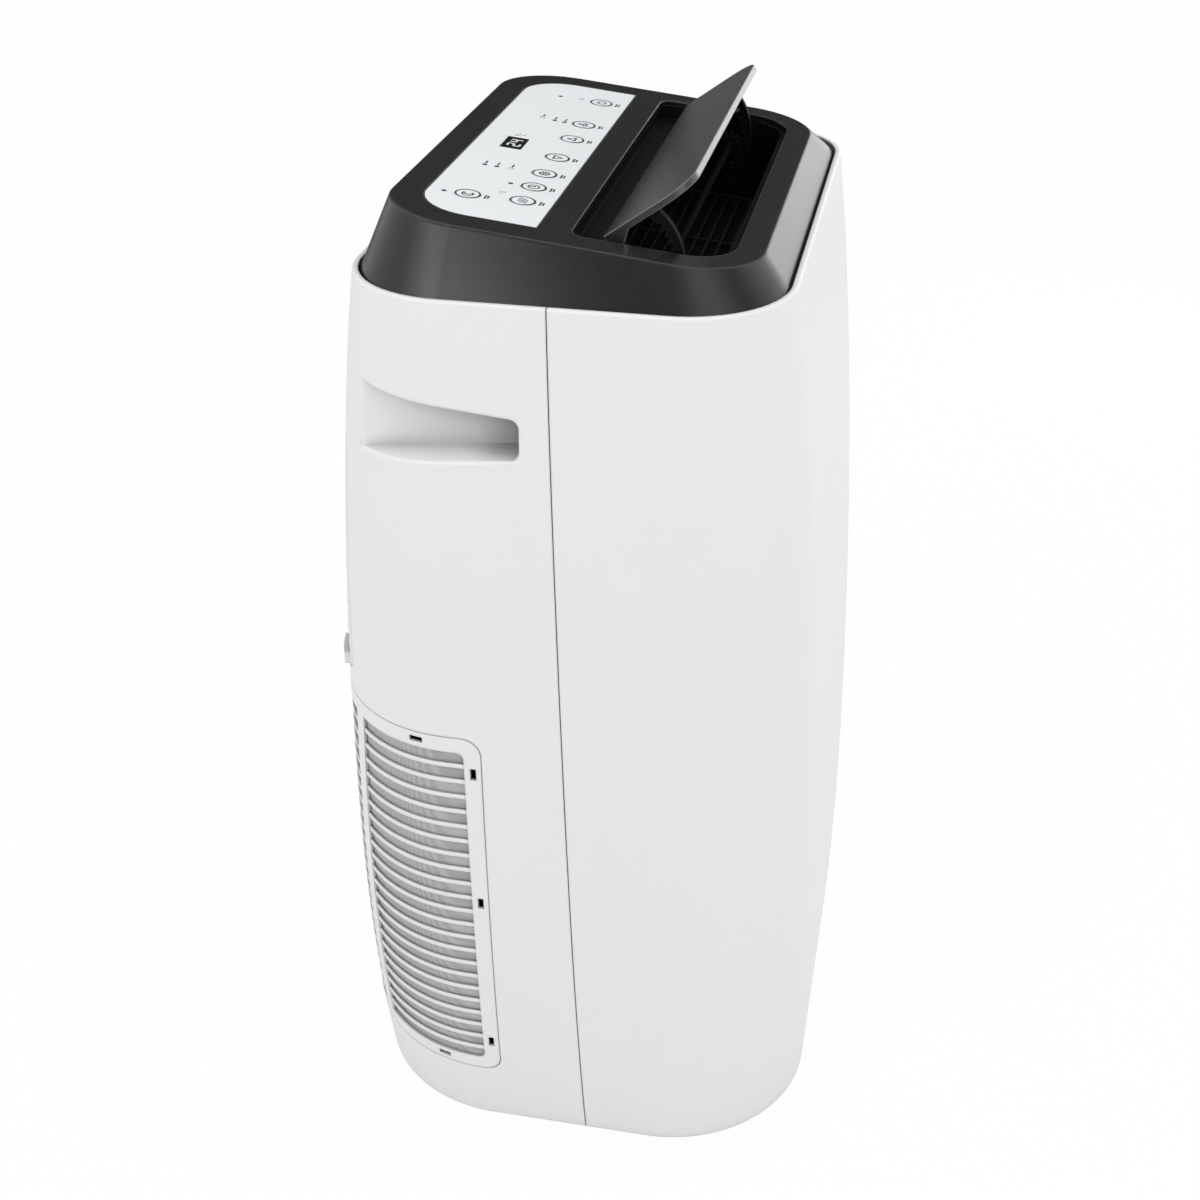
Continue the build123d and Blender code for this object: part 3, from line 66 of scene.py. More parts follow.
# Studio: lamps are place, target, width, height, power and what they light;
# cards are place, turn, width, height, tone
FLOOR_SIZE = 14.0
FLOOR_DROP = 0.0005
FLOOR_WHITE = 0.975
FLOOR_DARKER = (0.86, 0.86, 0.86)
FLOOR_LIGHTER = (0.88, 0.88, 0.88)
FLOOR_SPECULAR = 0.1
FLOOR_MOTTLE = 1.5
CARD_MOTTLE = 2.0
CARD_CHANGE = 0.1
STAGE_ROUGHNESS = 0.9
WORLD_LIGHT = 0.62
WORLD_WHITE = 1.0
LAMPS = {
    "edge_lamp": ((1.9, -0.75, 0.74), (0, -0.12, 0.68), 1.0, 0.8, 4.5, "all"),
    "top_lamp": ((-0.2, 0.2, 3.0), (0, 0.1, 0.7), 2.4, 2.4, 15.0, "all"),
    "front_lamp": ((1.5, -2.5, 1.2), (0, 0, 0.4), 2.0, 2.0, 10.0, "all"),
    "key_lamp": ((-1.6, -2.2, 2.4), (0, 0, 0.4), 2.2, 2.2, 26.0, "all"),
    "left_lamp": ((-2.4, 1.2, 2.4), (0, 0, 0.35), 0.8, 0.8, 17.0, "all"),
    "rear_lamp": ((-0.6, 2.4, 1.5), (-0.1, 0.1, 0.6), 1.2, 1.2, 8.0, "matt"),
    "sheen_lamp": ((-1.55, 1.0, 2.15), (-0.15, 1.0, 0.69), 2.2, 0.95, 12.0, "gloss"),
}
CARDS = {
    "right_card": ((2.2, 0.95, 1.65), (0, 90, 0), 2.7, 1.5, 0.045),
    "low_card": ((2.2, 0.95, 0.45), (0, 90, 0), 2.7, 0.9, 0.20),
    "upper_card": ((-0.72, 0.25, 2.2), (0, 0, 0), 1.2, 0.95, 0.03),
    "front_card": ((0.45, -1.15, 2.2), (0, 0, 0), 0.7, 0.7, 0.03),
}

# Surfaces
WHITE = (1, 1, 1)
BLACK = (0, 0, 0)
SHARP_ANGLE = 28
NOISE_LOW = 0.3
NOISE_HIGH = 0.7
MOTTLE_SCALE = 14.0
MOTTLE_DETAIL = 3.0
GRAIN_DETAIL = 2.0
GRAIN_BUMP = 0.5
SMOOTHER = 0.04
ROUGHER = 0.06
MASK_SAMPLES = 6
EDGE_TURN = 0.75
# Painted shade in hollows: how far to look for nearby surfaces, and the occlusion at full and at no
# shade
HOLLOW_REACH = 0.03
HOLLOW_DARK = 0.25
HOLLOW_LIGHT = 0.85
WAVE_STEP = 20

# The filters' nets and the coils' fins
NET_PITCH = 0.0012
NET_ROUGHNESS = 0.8
NET_WAVER = 0.2
NET_MOTTLE = 20.0
NET_CHANGE = 0.08
NET_GAP_SHADE = 0.75
NET_BUMP = 0.6
NET_DEPTH = 0.0004
FIN_PITCH = 0.006
FIN_METAL = 0.9
FIN_SHADE = 0.3
FIN_GRAIN = 300.0
FIN_SMOOTH = 0.3
FIN_ROUGH = 0.45

# Marks printed on the keys
KEY_RING = 7.3
KEY_RING_WIDTH = 1.15
KEY_RING_STEPS = 64
ICON_WIDTH = 1.0
ICON_RADIUS = 3.4
POWER_RADIUS = 3.1
POWER_ARC = (125, 415)
POWER_BAR = ((0, 1.0), (0, 3.9))
BLADE_TURNS = (90, 210, 330)
BLADE_PLACE = 2.0
BLADE_RADIUS = 1.3
BLADE_ARC = (-180, 130)
ARROW = ((-3.4, -2.2), (3.4, -2.2), (0, 3.2), (-3.4, -2.2))
NUT_ARC = (30, 390)
NUT_SIDES = 6
NUT_BORE = 1.4
CLOCK_HANDS = ((0, 2.2), (0, 0), (1.7, -0.9))
SWING_BARS = (-2.7, 0, 2.7)
SWING_LEAN = 1.3
SWING_REACH = 3.0
MOON_OUTER = (50, 310)
MOON_SHIFT = 1.9
MOON_RADIUS = 2.65
MOON_INNER = (80, 280)
CAPTION_DROP = 12.6
CAPTION_LENGTH = 7.0
CAPTION_WIDTH = 1.1
CAPTION_PITCH = 1.8
CAPTION_SHORT = 0.7

# Lamps and rings printed on the label
LAMP_RADIUS = 1.6
LAMP_STEPS = 28
RING_WIDTH = 0.35
LONE_LAMPS = ((-118.7, 83.1), (-85.2, 50.7), (119.6, 65.9))
NAMED_LAMPS = ((-58.0, 74.2), (-57.9, 66.5), (59.6, 56.5), (58.9, 49.5))
LONE_RINGS = ((-104.0, 51.0), (121.0, 51.0))
NAMED_RINGS = ((61.8, 65.4), (-57.0, 57.5))
LAMP_BAR_START = 2.8
LAMP_BAR_END = 7.6

# Digits of the display, with each segment as shares of a digit's width and height
DIGIT_WIDTH = 4.65
DIGIT_HEIGHT = 7.75
DIGIT_SPACING = 8.6
DIGIT_STROKE = 1.25
SEGMENTS = {
    "top": ((-0.5, 0.5), (0.5, 0.5)),
    "upper_left": ((-0.5, 0.5), (-0.5, 0.0)),
    "upper_right": ((0.5, 0.5), (0.5, 0.0)),
    "middle": ((-0.5, 0.0), (0.5, 0.0)),
    "lower_left": ((-0.5, 0.0), (-0.5, -0.5)),
    "lower_right": ((0.5, 0.0), (0.5, -0.5)),
    "bottom": ((-0.5, -0.5), (0.5, -0.5)),
}
DIGIT_TWO = ("top", "upper_right", "middle", "lower_left", "bottom")
DIGIT_FOUR = ("upper_left", "upper_right", "middle", "lower_right")
DEGREE_RING = 1.1
DEGREE_SHIFT = (17.0, 3.0)
UNIT_RADIUS = 2.2
UNIT_SHIFT = 21.0
UNIT_ARC = (60, 300)
UNIT_WIDTH = 0.45


def node_tree(name):
    """A new material with a principled shader, and its nodes and links."""
    material = bpy.data.materials.new(name)
    material.use_nodes = True
    tree = material.node_tree
    shader = tree.nodes["Principled BSDF"]
    return material, tree, shader


def noise(tree, scale, detail=MOTTLE_DETAIL, stretch=(1, 1, 1)):
    """Noise in object space, in features per metre."""
    place = tree.nodes.new("ShaderNodeTexCoord")
    mapping = tree.nodes.new("ShaderNodeMapping")
    mapping.inputs["Scale"].default_value = stretch
    texture = tree.nodes.new("ShaderNodeTexNoise")
    texture.inputs["Scale"].default_value = scale
    texture.inputs["Detail"].default_value = detail
    tree.links.new(place.outputs["Object"], mapping.inputs["Vector"])
    tree.links.new(mapping.outputs["Vector"], texture.inputs["Vector"])
    return texture.outputs["Fac"]


def between(tree, value, low, high, from_low=NOISE_LOW, from_high=NOISE_HIGH):
    """A value spread between two limits."""
    spread = tree.nodes.new("ShaderNodeMapRange")
    spread.inputs["From Min"].default_value = from_low
    spread.inputs["From Max"].default_value = from_high
    spread.inputs["To Min"].default_value = low
    spread.inputs["To Max"].default_value = high
    tree.links.new(value, spread.inputs["Value"])
    return spread.outputs["Result"]


def mixed(tree, share, first, second):
    """Two colours mixed by a share. Each is a colour or an output socket."""
    mix = tree.nodes.new("ShaderNodeMix")
    mix.data_type = "RGBA"
    tree.links.new(share, mix.inputs["Factor"])
    for colour, name in ((first, "A"), (second, "B")):
        socket = [s for s in mix.inputs if s.name == name and s.type == "RGBA"][0]
        if isinstance(colour, bpy.types.NodeSocket):
            tree.links.new(colour, socket)
        else:
            socket.default_value = (*colour, 1)
    return [s for s in mix.outputs if s.type == "RGBA"][0]


def shaded(colour, change):
    """A colour made lighter or darker by a share."""
    return tuple(max(0.0, part * (1 + change)) for part in colour)


def edge_mask(tree, radius):
    """High where a surface turns within a radius, with the rounded normal that shows it."""
    rounded = tree.nodes.new("ShaderNodeBevel")
    rounded.samples = MASK_SAMPLES
    rounded.inputs["Radius"].default_value = radius
    plain = tree.nodes.new("ShaderNodeNewGeometry")
    product = tree.nodes.new("ShaderNodeVectorMath")
    product.operation = "DOT_PRODUCT"
    tree.links.new(rounded.outputs["Normal"], product.inputs[0])
    tree.links.new(plain.outputs["Normal"], product.inputs[1])
    mask = between(tree, product.outputs["Value"], 1.0, 0.0, EDGE_TURN, 1.0)
    return mask, rounded.outputs["Normal"]


def hollow_shade_mask(tree, reach):
    """Low in hollows, where nearby surfaces close in; it sets where shade is painted."""
    nearby = tree.nodes.new("ShaderNodeAmbientOcclusion")
    nearby.samples = MASK_SAMPLES
    nearby.inputs["Distance"].default_value = reach
    return between(tree, nearby.outputs["AO"], 0.0, 1.0, HOLLOW_DARK, HOLLOW_LIGHT)


def wave(tree, direction, pitch):
    """A wave across object space that repeats at a pitch."""
    place = tree.nodes.new("ShaderNodeTexCoord")
    texture = tree.nodes.new("ShaderNodeTexWave")
    texture.bands_direction = direction
    texture.inputs["Scale"].default_value = 2 * pi / (WAVE_STEP * pitch)
    tree.links.new(place.outputs["Object"], texture.inputs["Vector"])
    return texture


def add_bump(tree, shader, height, strength, distance, normal=None):
    """Raise the shader's surface by a height, over a rounded normal if there is one."""
    bump = tree.nodes.new("ShaderNodeBump")
    bump.inputs["Strength"].default_value = strength
    bump.inputs["Distance"].default_value = distance
    tree.links.new(height, bump.inputs["Height"])
    if normal is not None:
        tree.links.new(normal, bump.inputs["Normal"])
    tree.links.new(bump.outputs["Normal"], shader.inputs["Normal"])


def moulded(name, colour, roughness, grain=900.0, depth=0.00003, change=0.03, edge=0.0008,
            wear_and_highlight=0.10, specular=0.5, metallic=0.0, stretch=(1, 1, 1), hollow_shade=0.0):
    """A moulded, painted or drawn surface: mottle, grain, uneven sheen, painted shade in hollows,
    and edges lightened towards white as wear and as a painted highlight.
    """
    material, tree, shader = node_tree(name)
    shader.inputs["Metallic"].default_value = metallic
    shader.inputs["Specular IOR Level"].default_value = specular
    mottle = noise(tree, MOTTLE_SCALE)
    tone = mixed(tree, mottle, shaded(colour, -change), shaded(colour, change))
    # Painted shade: the colour darkened in hollows, where nearby surfaces close in.
    if hollow_shade:
        tone = mixed(tree, hollow_shade_mask(tree, HOLLOW_REACH), shaded(colour, -hollow_shade), tone)
    mask, rounded = edge_mask(tree, edge)
    # Edges lightened towards white by the wear and highlight share: partly wear, partly a painted
    # highlight where edges catch the light.
    share = tree.nodes.new("ShaderNodeMath")
    share.operation = "MULTIPLY"
    share.inputs[1].default_value = wear_and_highlight
    tree.links.new(mask, share.inputs[0])
    edge_lightened = mixed(tree, share.outputs["Value"], tone, WHITE)
    tree.links.new(edge_lightened, shader.inputs["Base Color"])
    grains = noise(tree, grain, GRAIN_DETAIL, stretch)
    sheen = between(tree, grains, roughness - SMOOTHER, roughness + ROUGHER)
    tree.links.new(sheen, shader.inputs["Roughness"])
    add_bump(tree, shader, grains, GRAIN_BUMP, depth, rounded)
    return material


def woven(name, colour, pitch):
    """A net of fine threads that cross at right angles, with painted shade in its gaps."""
    material, tree, shader = node_tree(name)
    shader.inputs["Roughness"].default_value = NET_ROUGHNESS
    top = tree.nodes.new("ShaderNodeMath")
    top.operation = "MAXIMUM"
    for index, direction in enumerate(("X", "Z")):
        threads = wave(tree, direction, pitch)
        threads.inputs["Distortion"].default_value = NET_WAVER
        tree.links.new(threads.outputs["Fac"], top.inputs[index])
    mottle = noise(tree, NET_MOTTLE)
    uneven = mixed(tree, mottle, shaded(colour, -NET_CHANGE), shaded(colour, NET_CHANGE))
    # Painted shade: the colour darkened towards black in the gaps between threads.
    crossing = between(tree, top.outputs["Value"], NET_GAP_SHADE, 1.0)
    tone = mixed(tree, crossing, BLACK, uneven)
    tree.links.new(tone, shader.inputs["Base Color"])
    add_bump(tree, shader, top.outputs["Value"], NET_BUMP, NET_DEPTH)
    return material


def finned(name, colour, pitch):
    """Aluminium fins seen edge on, with painted shade between them."""
    material, tree, shader = node_tree(name)
    shader.inputs["Metallic"].default_value = FIN_METAL
    fins = wave(tree, "X", pitch)
    # Painted shade: the colour darker between the fins.
    tone = mixed(tree, fins.outputs["Fac"], shaded(colour, -FIN_SHADE), colour)
    tree.links.new(tone, shader.inputs["Base Color"])
    sheen = between(tree, noise(tree, FIN_GRAIN), FIN_SMOOTH, FIN_ROUGH)
    tree.links.new(sheen, shader.inputs["Roughness"])
    return material


# The wear and highlight share lightens edges towards white, partly as wear and partly as a painted
# highlight; the hollow shade share darkens hollows as painted shade.
MOULDED = {
    "white_shell": dict(colour=(0.79, 0.79, 0.79), roughness=0.42, grain=1600.0, depth=0.00002,
                        change=0.008, edge=0.0022, hollow_shade=0.7),
    "dark_cover": dict(colour=(0.010, 0.010, 0.0104), roughness=0.30, grain=2200.0, depth=0.00001,
                       change=0.06, edge=0.0018, wear_and_highlight=0.12, specular=0.4, hollow_shade=0.85),
    # The outlet flap: the cover's dark plastic made twice as light as painted light, with edges
    # lightened as a painted highlight.
    "flap_highlighted": dict(colour=(0.02, 0.02, 0.0204), roughness=0.24, grain=2200.0, depth=0.00001,
                       change=0.06, edge=0.0014, wear_and_highlight=0.30, specular=0.48),
    # The rack arms: edges lightened strongly towards white as a painted highlight along their rims.
    "arm_highlighted": dict(colour=(0.03, 0.03, 0.0304), roughness=0.22, grain=2200.0, depth=0.00001,
                      change=0.06, edge=0.0018, wear_and_highlight=0.75, specular=0.6),
    "black_duct": dict(colour=(0.003, 0.003, 0.0032), roughness=0.72, grain=1800.0, change=0.1,
                       edge=0.0006, wear_and_highlight=0.05, specular=0.08),
    "label_film": dict(colour=(0.81, 0.85, 0.86), roughness=0.38, grain=3000.0, depth=0.00001,
                       change=0.006, edge=0.0004, wear_and_highlight=0.02),
    "key_film": dict(colour=(0.82, 0.86, 0.87), roughness=0.38, grain=3000.0, depth=0.00001,
                     change=0.006, edge=0.0004, wear_and_highlight=0.02),
    "display_lens": dict(colour=(0.006, 0.006, 0.007), roughness=0.16, grain=600.0, depth=0.00001,
                         change=0.1, edge=0.0003, wear_and_highlight=0.04),
    "bright_steel": dict(colour=(0.56, 0.56, 0.57), roughness=0.28, grain=500.0, change=0.05,
                         edge=0.0003, metallic=1.0, stretch=(0.05, 1, 1)),
    "guard_black": dict(colour=(0.004, 0.004, 0.0042), roughness=0.5, grain=1800.0, change=0.1,
                        edge=0.0004, specular=0.3),
    # Steel coloured near black as painted shade, so that it stays dark in the outlet.
    "black_steel": dict(colour=(0.003, 0.003, 0.0032), roughness=0.75, grain=500.0, change=0.1,
                        edge=0.0003, wear_and_highlight=0.02, specular=0.04, stretch=(0.05, 1, 1)),
    "castor_black": dict(colour=(0.03, 0.03, 0.032), roughness=0.5, grain=1500.0, depth=0.00004,
                         change=0.08, edge=0.0005, wear_and_highlight=0.08),
    "castor_tread": dict(colour=(0.05, 0.05, 0.053), roughness=0.62, grain=2200.0, depth=0.00006,
                         change=0.12, edge=0.0006),
    "pan_grey": dict(colour=(0.22, 0.22, 0.23), roughness=0.5, grain=1400.0, depth=0.00005,
                     change=0.05, wear_and_highlight=0.08),
    "scroll_grey": dict(colour=(0.35, 0.36, 0.37), roughness=0.55, depth=0.00006, change=0.06,
                        wear_and_highlight=0.05),
    "collar_white": dict(colour=(0.74, 0.74, 0.74), roughness=0.45, grain=1500.0, change=0.02,
                         wear_and_highlight=0.06),
    "fan_grey": dict(colour=(0.12, 0.12, 0.13), roughness=0.5, grain=1200.0, change=0.06,
                     edge=0.0004, wear_and_highlight=0.06),
    "motor_can": dict(colour=(0.32, 0.33, 0.34), roughness=0.4, grain=350.0, change=0.15,
                      edge=0.0006, wear_and_highlight=0.12, metallic=0.7),
    "copper_pipe": dict(colour=(0.72, 0.30, 0.16), roughness=0.3, grain=300.0, change=0.15,
                        edge=0.0003, wear_and_highlight=0.05, metallic=1.0),
    "compressor_black": dict(colour=(0.012, 0.012, 0.013), roughness=0.35, grain=500.0,
                             depth=0.00005, change=0.1, edge=0.001, wear_and_highlight=0.08),
    "soft_rubber": dict(colour=(0.03, 0.03, 0.031), roughness=0.68, grain=1800.0, depth=0.00005,
                        change=0.1, edge=0.0004, wear_and_highlight=0.06),
    "board_green": dict(colour=(0.02, 0.16, 0.06), roughness=0.4, grain=250.0, change=0.2,
                        edge=0.0003),
    "switch_black": dict(colour=(0.02, 0.02, 0.02), roughness=0.45, grain=2000.0, change=0.1,
                         edge=0.0002),
    "box_grey": dict(colour=(0.42, 0.43, 0.44), roughness=0.45, grain=700.0, depth=0.00006,
                     change=0.05),
    "print_ink": dict(colour=(0.010, 0.010, 0.011), roughness=0.5, grain=2500.0, depth=0.00001,
                      change=0.1, edge=0.0001, wear_and_highlight=0.02),
    "lit_digit": dict(colour=(0.86, 0.86, 0.86), roughness=0.4, grain=2500.0, depth=0.00001,
                      change=0.02, edge=0.0001, wear_and_highlight=0.02),
}
materials = {name: moulded(name, **look) for name, look in MOULDED.items()}
materials["filter_net"] = woven("filter_net", (0.47, 0.47, 0.47), NET_PITCH)
materials["coil_fin"] = finned("coil_fin", (0.72, 0.73, 0.74), FIN_PITCH)

# Nodes that look different from the rest of their slot; the flap and the rack arms carry painted
# light
OWN_LOOKS = {"outlet_flap": "flap_highlighted", "rack_arms": "arm_highlighted", "outlet_guard": "guard_black"}


def dress_nodes():
    """Give each CAD node the material of its slot and smooth its shading."""
    for part in frame["record"]["subparts"]:
        shape = nodes[part["node"]]
        shape.data.materials.clear()
        look = OWN_LOOKS.get(part["node"], part["material_slot"])
        shape.data.materials.append(materials[look])
        shape.data.shade_smooth()
        shape.data.set_sharp_from_angle(angle=radians(SHARP_ANGLE))


def on_face(x, y, lift):
    """A point of the cover's face, given in millimetres on it and above it."""
    slope = radians(FACE_SLOPE)
    return Vector((
        x * MM,
        (y * cos(slope) - lift * sin(slope)) * MM,
        (FACE_HEIGHT + y * sin(slope) + lift * cos(slope)) * MM,
    ))


def arc(x, y, radius, start=0, end=360, steps=ARC_STEPS):
    """Points of an arc, in millimetres and degrees."""
    points = []
    for step in range(steps + 1):
        angle = radians(start + (end - start) * step / steps)
        points.append((x + radius * cos(angle), y + radius * sin(angle)))
    return points


def meets(first, last):
    """Whether two points are the same."""
    return (Vector(first) - Vector(last)).length < SAME_POINT


def add_stroke(mesh, points, width, lift, closed=False):
    """A printed line of even width along points on the cover's face."""
    flat = [Vector(point) for point in points]
    if closed and meets(flat[0], flat[-1]):
        flat.pop()
    count = len(flat)
    rails = []
    for index, point in enumerate(flat):
        before = flat[index - 1] if index or closed else point
        after = flat[(index + 1) % count] if index + 1 < count or closed else point
        ahead = (after - point).normalized() if (after - point).length else None
        behind = (point - before).normalized() if (point - before).length else None
        first = ahead or behind
        second = behind or ahead
        normal = Vector((-first.y - second.y, first.x + second.x)).normalized()
        stretch = max(LEAST_MITRE, normal.dot(Vector((-first.y, first.x))))
        offset = normal * (width / 2 / stretch)
        corners = [
            (point + offset, INK_THICK),
            (point - offset, INK_THICK),
            (point - offset, -INK_THICK),
            (point + offset, -INK_THICK),
        ]
        rails.append([mesh.verts.new(on_face(c.x, c.y, lift + up)) for c, up in corners])
    spans = list(zip(rails, rails[1:]))
    if closed:
        spans.append((rails[-1], rails[0]))
    for one, two in spans:
        for side in range(len(one)):
            mesh.faces.new((one[side - 1], two[side - 1], two[side], one[side]))
    if not closed:
        mesh.faces.new(rails[0])
        mesh.faces.new(tuple(reversed(rails[-1])))


def add_dot(mesh, x, y, radius, lift):
    """A printed disc on the cover's face."""
    outline = arc(x, y, radius, steps=LAMP_STEPS)[:-1]
    upper = [mesh.verts.new(on_face(px, py, lift + INK_THICK)) for px, py in outline]
    lower = [mesh.verts.new(on_face(px, py, lift - INK_THICK)) for px, py in outline]
    mesh.faces.new(upper)
    mesh.faces.new(tuple(reversed(lower)))
    for index in range(LAMP_STEPS):
        mesh.faces.new((upper[index - 1], lower[index - 1], lower[index], upper[index]))


def finish_piece(name, mesh, material, body):
    """Turn a built mesh into a piece that rides on a body."""
    bmesh.ops.recalc_face_normals(mesh, faces=mesh.faces)
    data = bpy.data.meshes.new(name)
    mesh.to_mesh(data)
    mesh.free()
    data.materials.append(material)
    piece = bpy.data.objects.new(name, data)
    bpy.context.scene.collection.objects.link(piece)
    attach(piece, body)


def key_icon(name):
    """Strokes of a plain mark for a key, in millimetres about its middle."""
    if name == "key_power":
        return [arc(0, 0, POWER_RADIUS, *POWER_ARC), POWER_BAR]
    if name == "key_speed":
        blades = []
        for turn in BLADE_TURNS:
            x = BLADE_PLACE * cos(radians(turn))
            y = BLADE_PLACE * sin(radians(turn))
            start, end = BLADE_ARC
            blades.append(arc(x, y, BLADE_RADIUS, turn + start, turn + end))
        return blades
    if name == "key_up":
        return [ARROW]
    if name == "key_down":
        return [[(x, -y) for x, y in ARROW]]
    if name == "key_mode":
        return [arc(0, 0, radius, *NUT_ARC, NUT_SIDES) for radius in (ICON_RADIUS, NUT_BORE)]
    if name == "key_timer":
        return [arc(0, 0, ICON_RADIUS), CLOCK_HANDS]
    if name == "key_swing":
        return [[(x - SWING_LEAN, -SWING_REACH), (x + SWING_LEAN, SWING_REACH)] for x in SWING_BARS]
    return [arc(0, 0, ICON_RADIUS, *MOON_OUTER), arc(MOON_SHIFT, 0, MOON_RADIUS, *MOON_INNER)]


def key_middle(name):
    """The middle of a key's top, in millimetres on the cover's face."""
    low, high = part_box(name)
    slope = radians(FACE_SLOPE)
    middle = (low + high) / 2 / MM
    return middle.x, middle.y * cos(slope) + (middle.z - FACE_HEIGHT) * sin(slope)


def make_key_print():
    """A ring and a plain mark on each key, and two plain bars on the label beside it."""
    ink = materials["print_ink"]
    bars = bmesh.new()
    for name in sorted(node for node in nodes if node.startswith("key_") and node != "key_switches"):
        x, y = key_middle(name)
        marks = bmesh.new()
        ring = arc(x, y, KEY_RING, steps=KEY_RING_STEPS)
        add_stroke(marks, ring, KEY_RING_WIDTH, KEY_PROUD, True)
        for stroke in key_icon(name):
            placed = [(x + px, y + py) for px, py in stroke]
            add_stroke(marks, placed, ICON_WIDTH, KEY_PROUD, meets(placed[0], placed[-1]))
        finish_piece("print_" + name, marks, ink, name + "_body")
        half = CAPTION_LENGTH / 2
        low = y - CAPTION_DROP
        for length, row in ((half * CAPTION_SHORT, low), (half, low + CAPTION_PITCH)):
            add_stroke(bars, [(x - length, row), (x + length, row)], CAPTION_WIDTH, 0)
    finish_piece("print_captions", bars, ink, "cabinet")


def make_label_print():
    """Lamp dots and rings on the label, some with a short bar beside them."""
    marks = bmesh.new()
    for x, y in LONE_LAMPS + NAMED_LAMPS:
        add_dot(marks, x, y, LAMP_RADIUS, 0)
    for x, y in LONE_RINGS + NAMED_RINGS:
        add_stroke(marks, arc(x, y, LAMP_RADIUS, steps=LAMP_STEPS), RING_WIDTH, 0, True)
    for x, y in NAMED_LAMPS + NAMED_RINGS:
        add_stroke(marks, [(x + LAMP_BAR_START, y), (x + LAMP_BAR_END, y)], CAPTION_WIDTH, 0)
    finish_piece("print_lamps", marks, materials["print_ink"], "cabinet")


def make_display_digits():
    """Two plain lit digits on the display window, and a degree ring and unit mark beside it."""
    x, y = key_middle("display_window")
    digits = bmesh.new()
    for side, shape in ((-0.5, DIGIT_TWO), (0.5, DIGIT_FOUR)):
        middle = x + side * DIGIT_SPACING
        for name in shape:
            ends = []
            for across, up in SEGMENTS[name]:
                ends.append((middle + across * DIGIT_WIDTH, y + up * DIGIT_HEIGHT))
            add_stroke(digits, ends, DIGIT_STROKE, 0)
    finish_piece("display_digits", digits, materials["lit_digit"], "cabinet")
    unit = bmesh.new()
    right, up = DEGREE_SHIFT
    degree = arc(x + right, y + up, DEGREE_RING, steps=LAMP_STEPS)
    add_stroke(unit, degree, UNIT_WIDTH, 0, True)
    letter = arc(x + UNIT_SHIFT, y, UNIT_RADIUS, *UNIT_ARC, LAMP_STEPS)
    add_stroke(unit, letter, UNIT_WIDTH, 0)
    finish_piece("print_unit", unit, materials["print_ink"], "cabinet")


def make_studio():
    """A pale floor, a white surround and soft lamps at a plain level."""
    world = bpy.data.worlds.new("studio")
    bpy.context.scene.world = world
    world.use_nodes = True
    tree = world.node_tree
    background = tree.nodes["Background"]
    path = tree.nodes.new("ShaderNodeLightPath")
    seen = path.outputs["Is Camera Ray"]
    for name in ("Is Glossy Ray", "Is Transmission Ray"):
        either = tree.nodes.new("ShaderNodeMath")
        either.operation = "MAXIMUM"
        tree.links.new(seen, either.inputs[0])
        tree.links.new(path.outputs[name], either.inputs[1])
        seen = either.outputs["Value"]
    strength = between(tree, seen, WORLD_LIGHT, WORLD_WHITE, 0.0, 1.0)
    tree.links.new(strength, background.inputs["Strength"])
    background.inputs["Color"].default_value = (*WHITE, 1)

    bpy.ops.mesh.primitive_plane_add(size=FLOOR_SIZE, location=(0, 0, -FLOOR_DROP))
    floor = bpy.context.object
    floor.name = "floor"
    floor.data.materials.append(floor_material())

    for name, lamp in LAMPS.items():
        add_lamp(name, *lamp)
    for name, card in CARDS.items():
        add_card(name, *card)


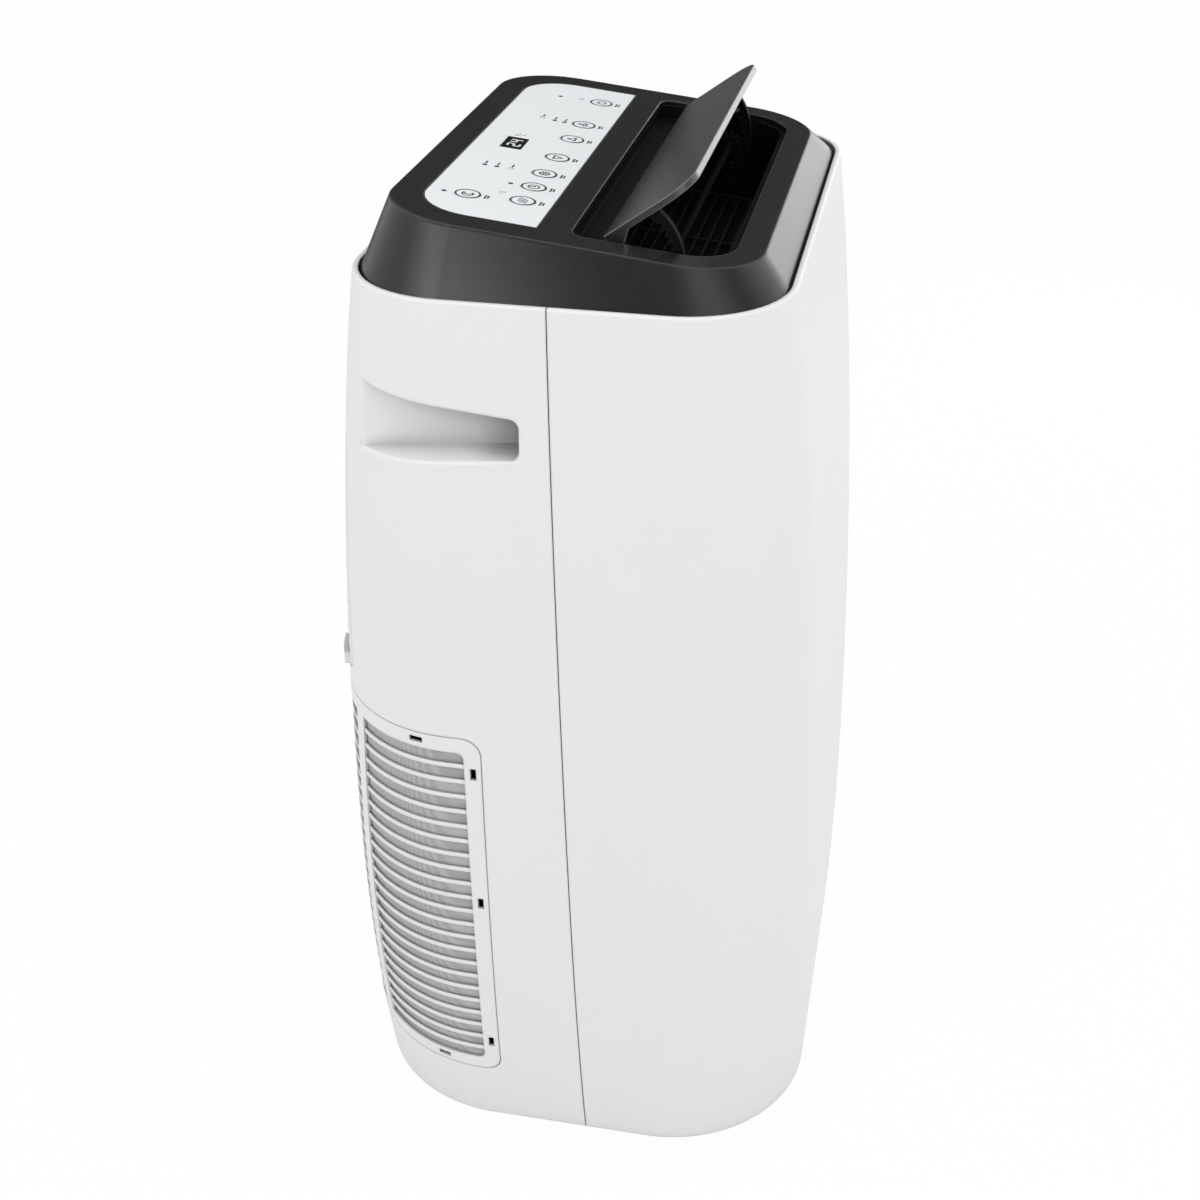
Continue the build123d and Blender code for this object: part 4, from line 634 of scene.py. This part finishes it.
def floor_material():
    """A pale floor that stays white to the camera and keeps the object's shadow."""
    material, tree, shader = node_tree("floor")
    shader.inputs["Roughness"].default_value = STAGE_ROUGHNESS
    shader.inputs["Specular IOR Level"].default_value = FLOOR_SPECULAR
    tone = mixed(tree, noise(tree, FLOOR_MOTTLE), FLOOR_DARKER, FLOOR_LIGHTER)
    tree.links.new(tone, shader.inputs["Base Color"])
    path = tree.nodes.new("ShaderNodeLightPath")
    glow = tree.nodes.new("ShaderNodeEmission")
    glow.inputs["Color"].default_value = (*WHITE, 1)
    mix = tree.nodes.new("ShaderNodeMixShader")
    share = between(tree, path.outputs["Is Camera Ray"], 0.0, FLOOR_WHITE, 0.0, 1.0)
    tree.links.new(share, mix.inputs["Fac"])
    tree.links.new(shader.outputs["BSDF"], mix.inputs[1])
    tree.links.new(glow.outputs["Emission"], mix.inputs[2])
    tree.links.new(mix.outputs["Shader"], tree.nodes["Material Output"].inputs["Surface"])
    return material


def add_lamp(name, place, target, width, height, power, lights):
    """A soft rectangular lamp that faces a point and lights all, matt or gloss reflection."""
    data = bpy.data.lights.new(name, "AREA")
    data.shape = "RECTANGLE"
    data.size = width
    data.size_y = height
    data.energy = power
    lamp = bpy.data.objects.new(name, data)
    lamp.location = place
    aim = Vector(target) - Vector(place)
    lamp.rotation_euler = aim.to_track_quat("-Z", "Y").to_euler()
    lamp.visible_camera = False
    lamp.visible_diffuse = lights != "gloss"
    lamp.visible_glossy = lights != "matt"
    bpy.context.scene.collection.objects.link(lamp)


def add_card(name, place, turn, width, height, tone):
    """A card which only reflections see."""
    angles = [radians(angle) for angle in turn]
    bpy.ops.mesh.primitive_plane_add(size=1, location=place, rotation=angles)
    card = bpy.context.object
    card.name = name
    card.scale = (height, width, 1)
    material, tree, shader = node_tree(name)
    shader.inputs["Roughness"].default_value = STAGE_ROUGHNESS
    grey = (tone, tone, tone)
    mottle = noise(tree, CARD_MOTTLE)
    uneven = mixed(tree, mottle, shaded(grey, -CARD_CHANGE), shaded(grey, CARD_CHANGE))
    tree.links.new(uneven, shader.inputs["Base Color"])
    card.data.materials.append(material)
    card.visible_camera = False
    card.visible_diffuse = False
    card.visible_shadow = False


def make_camera():
    """The camera of the main picture."""
    data = bpy.data.cameras.new("camera")
    data.lens = CAMERA_LENS
    data.sensor_width = CAMERA_SENSOR
    camera = bpy.data.objects.new("camera", data)
    camera.location = CAMERA_PLACE
    camera.rotation_euler = (radians(90 - CAMERA_ELEVATION), 0, radians(CAMERA_AZIMUTH))
    bpy.context.scene.collection.objects.link(camera)
    bpy.context.scene.camera = camera


dress_nodes()
make_key_print()
make_label_print()
make_display_digits()
make_studio()
make_camera()
bpy.context.scene.view_settings.view_transform = "Standard"
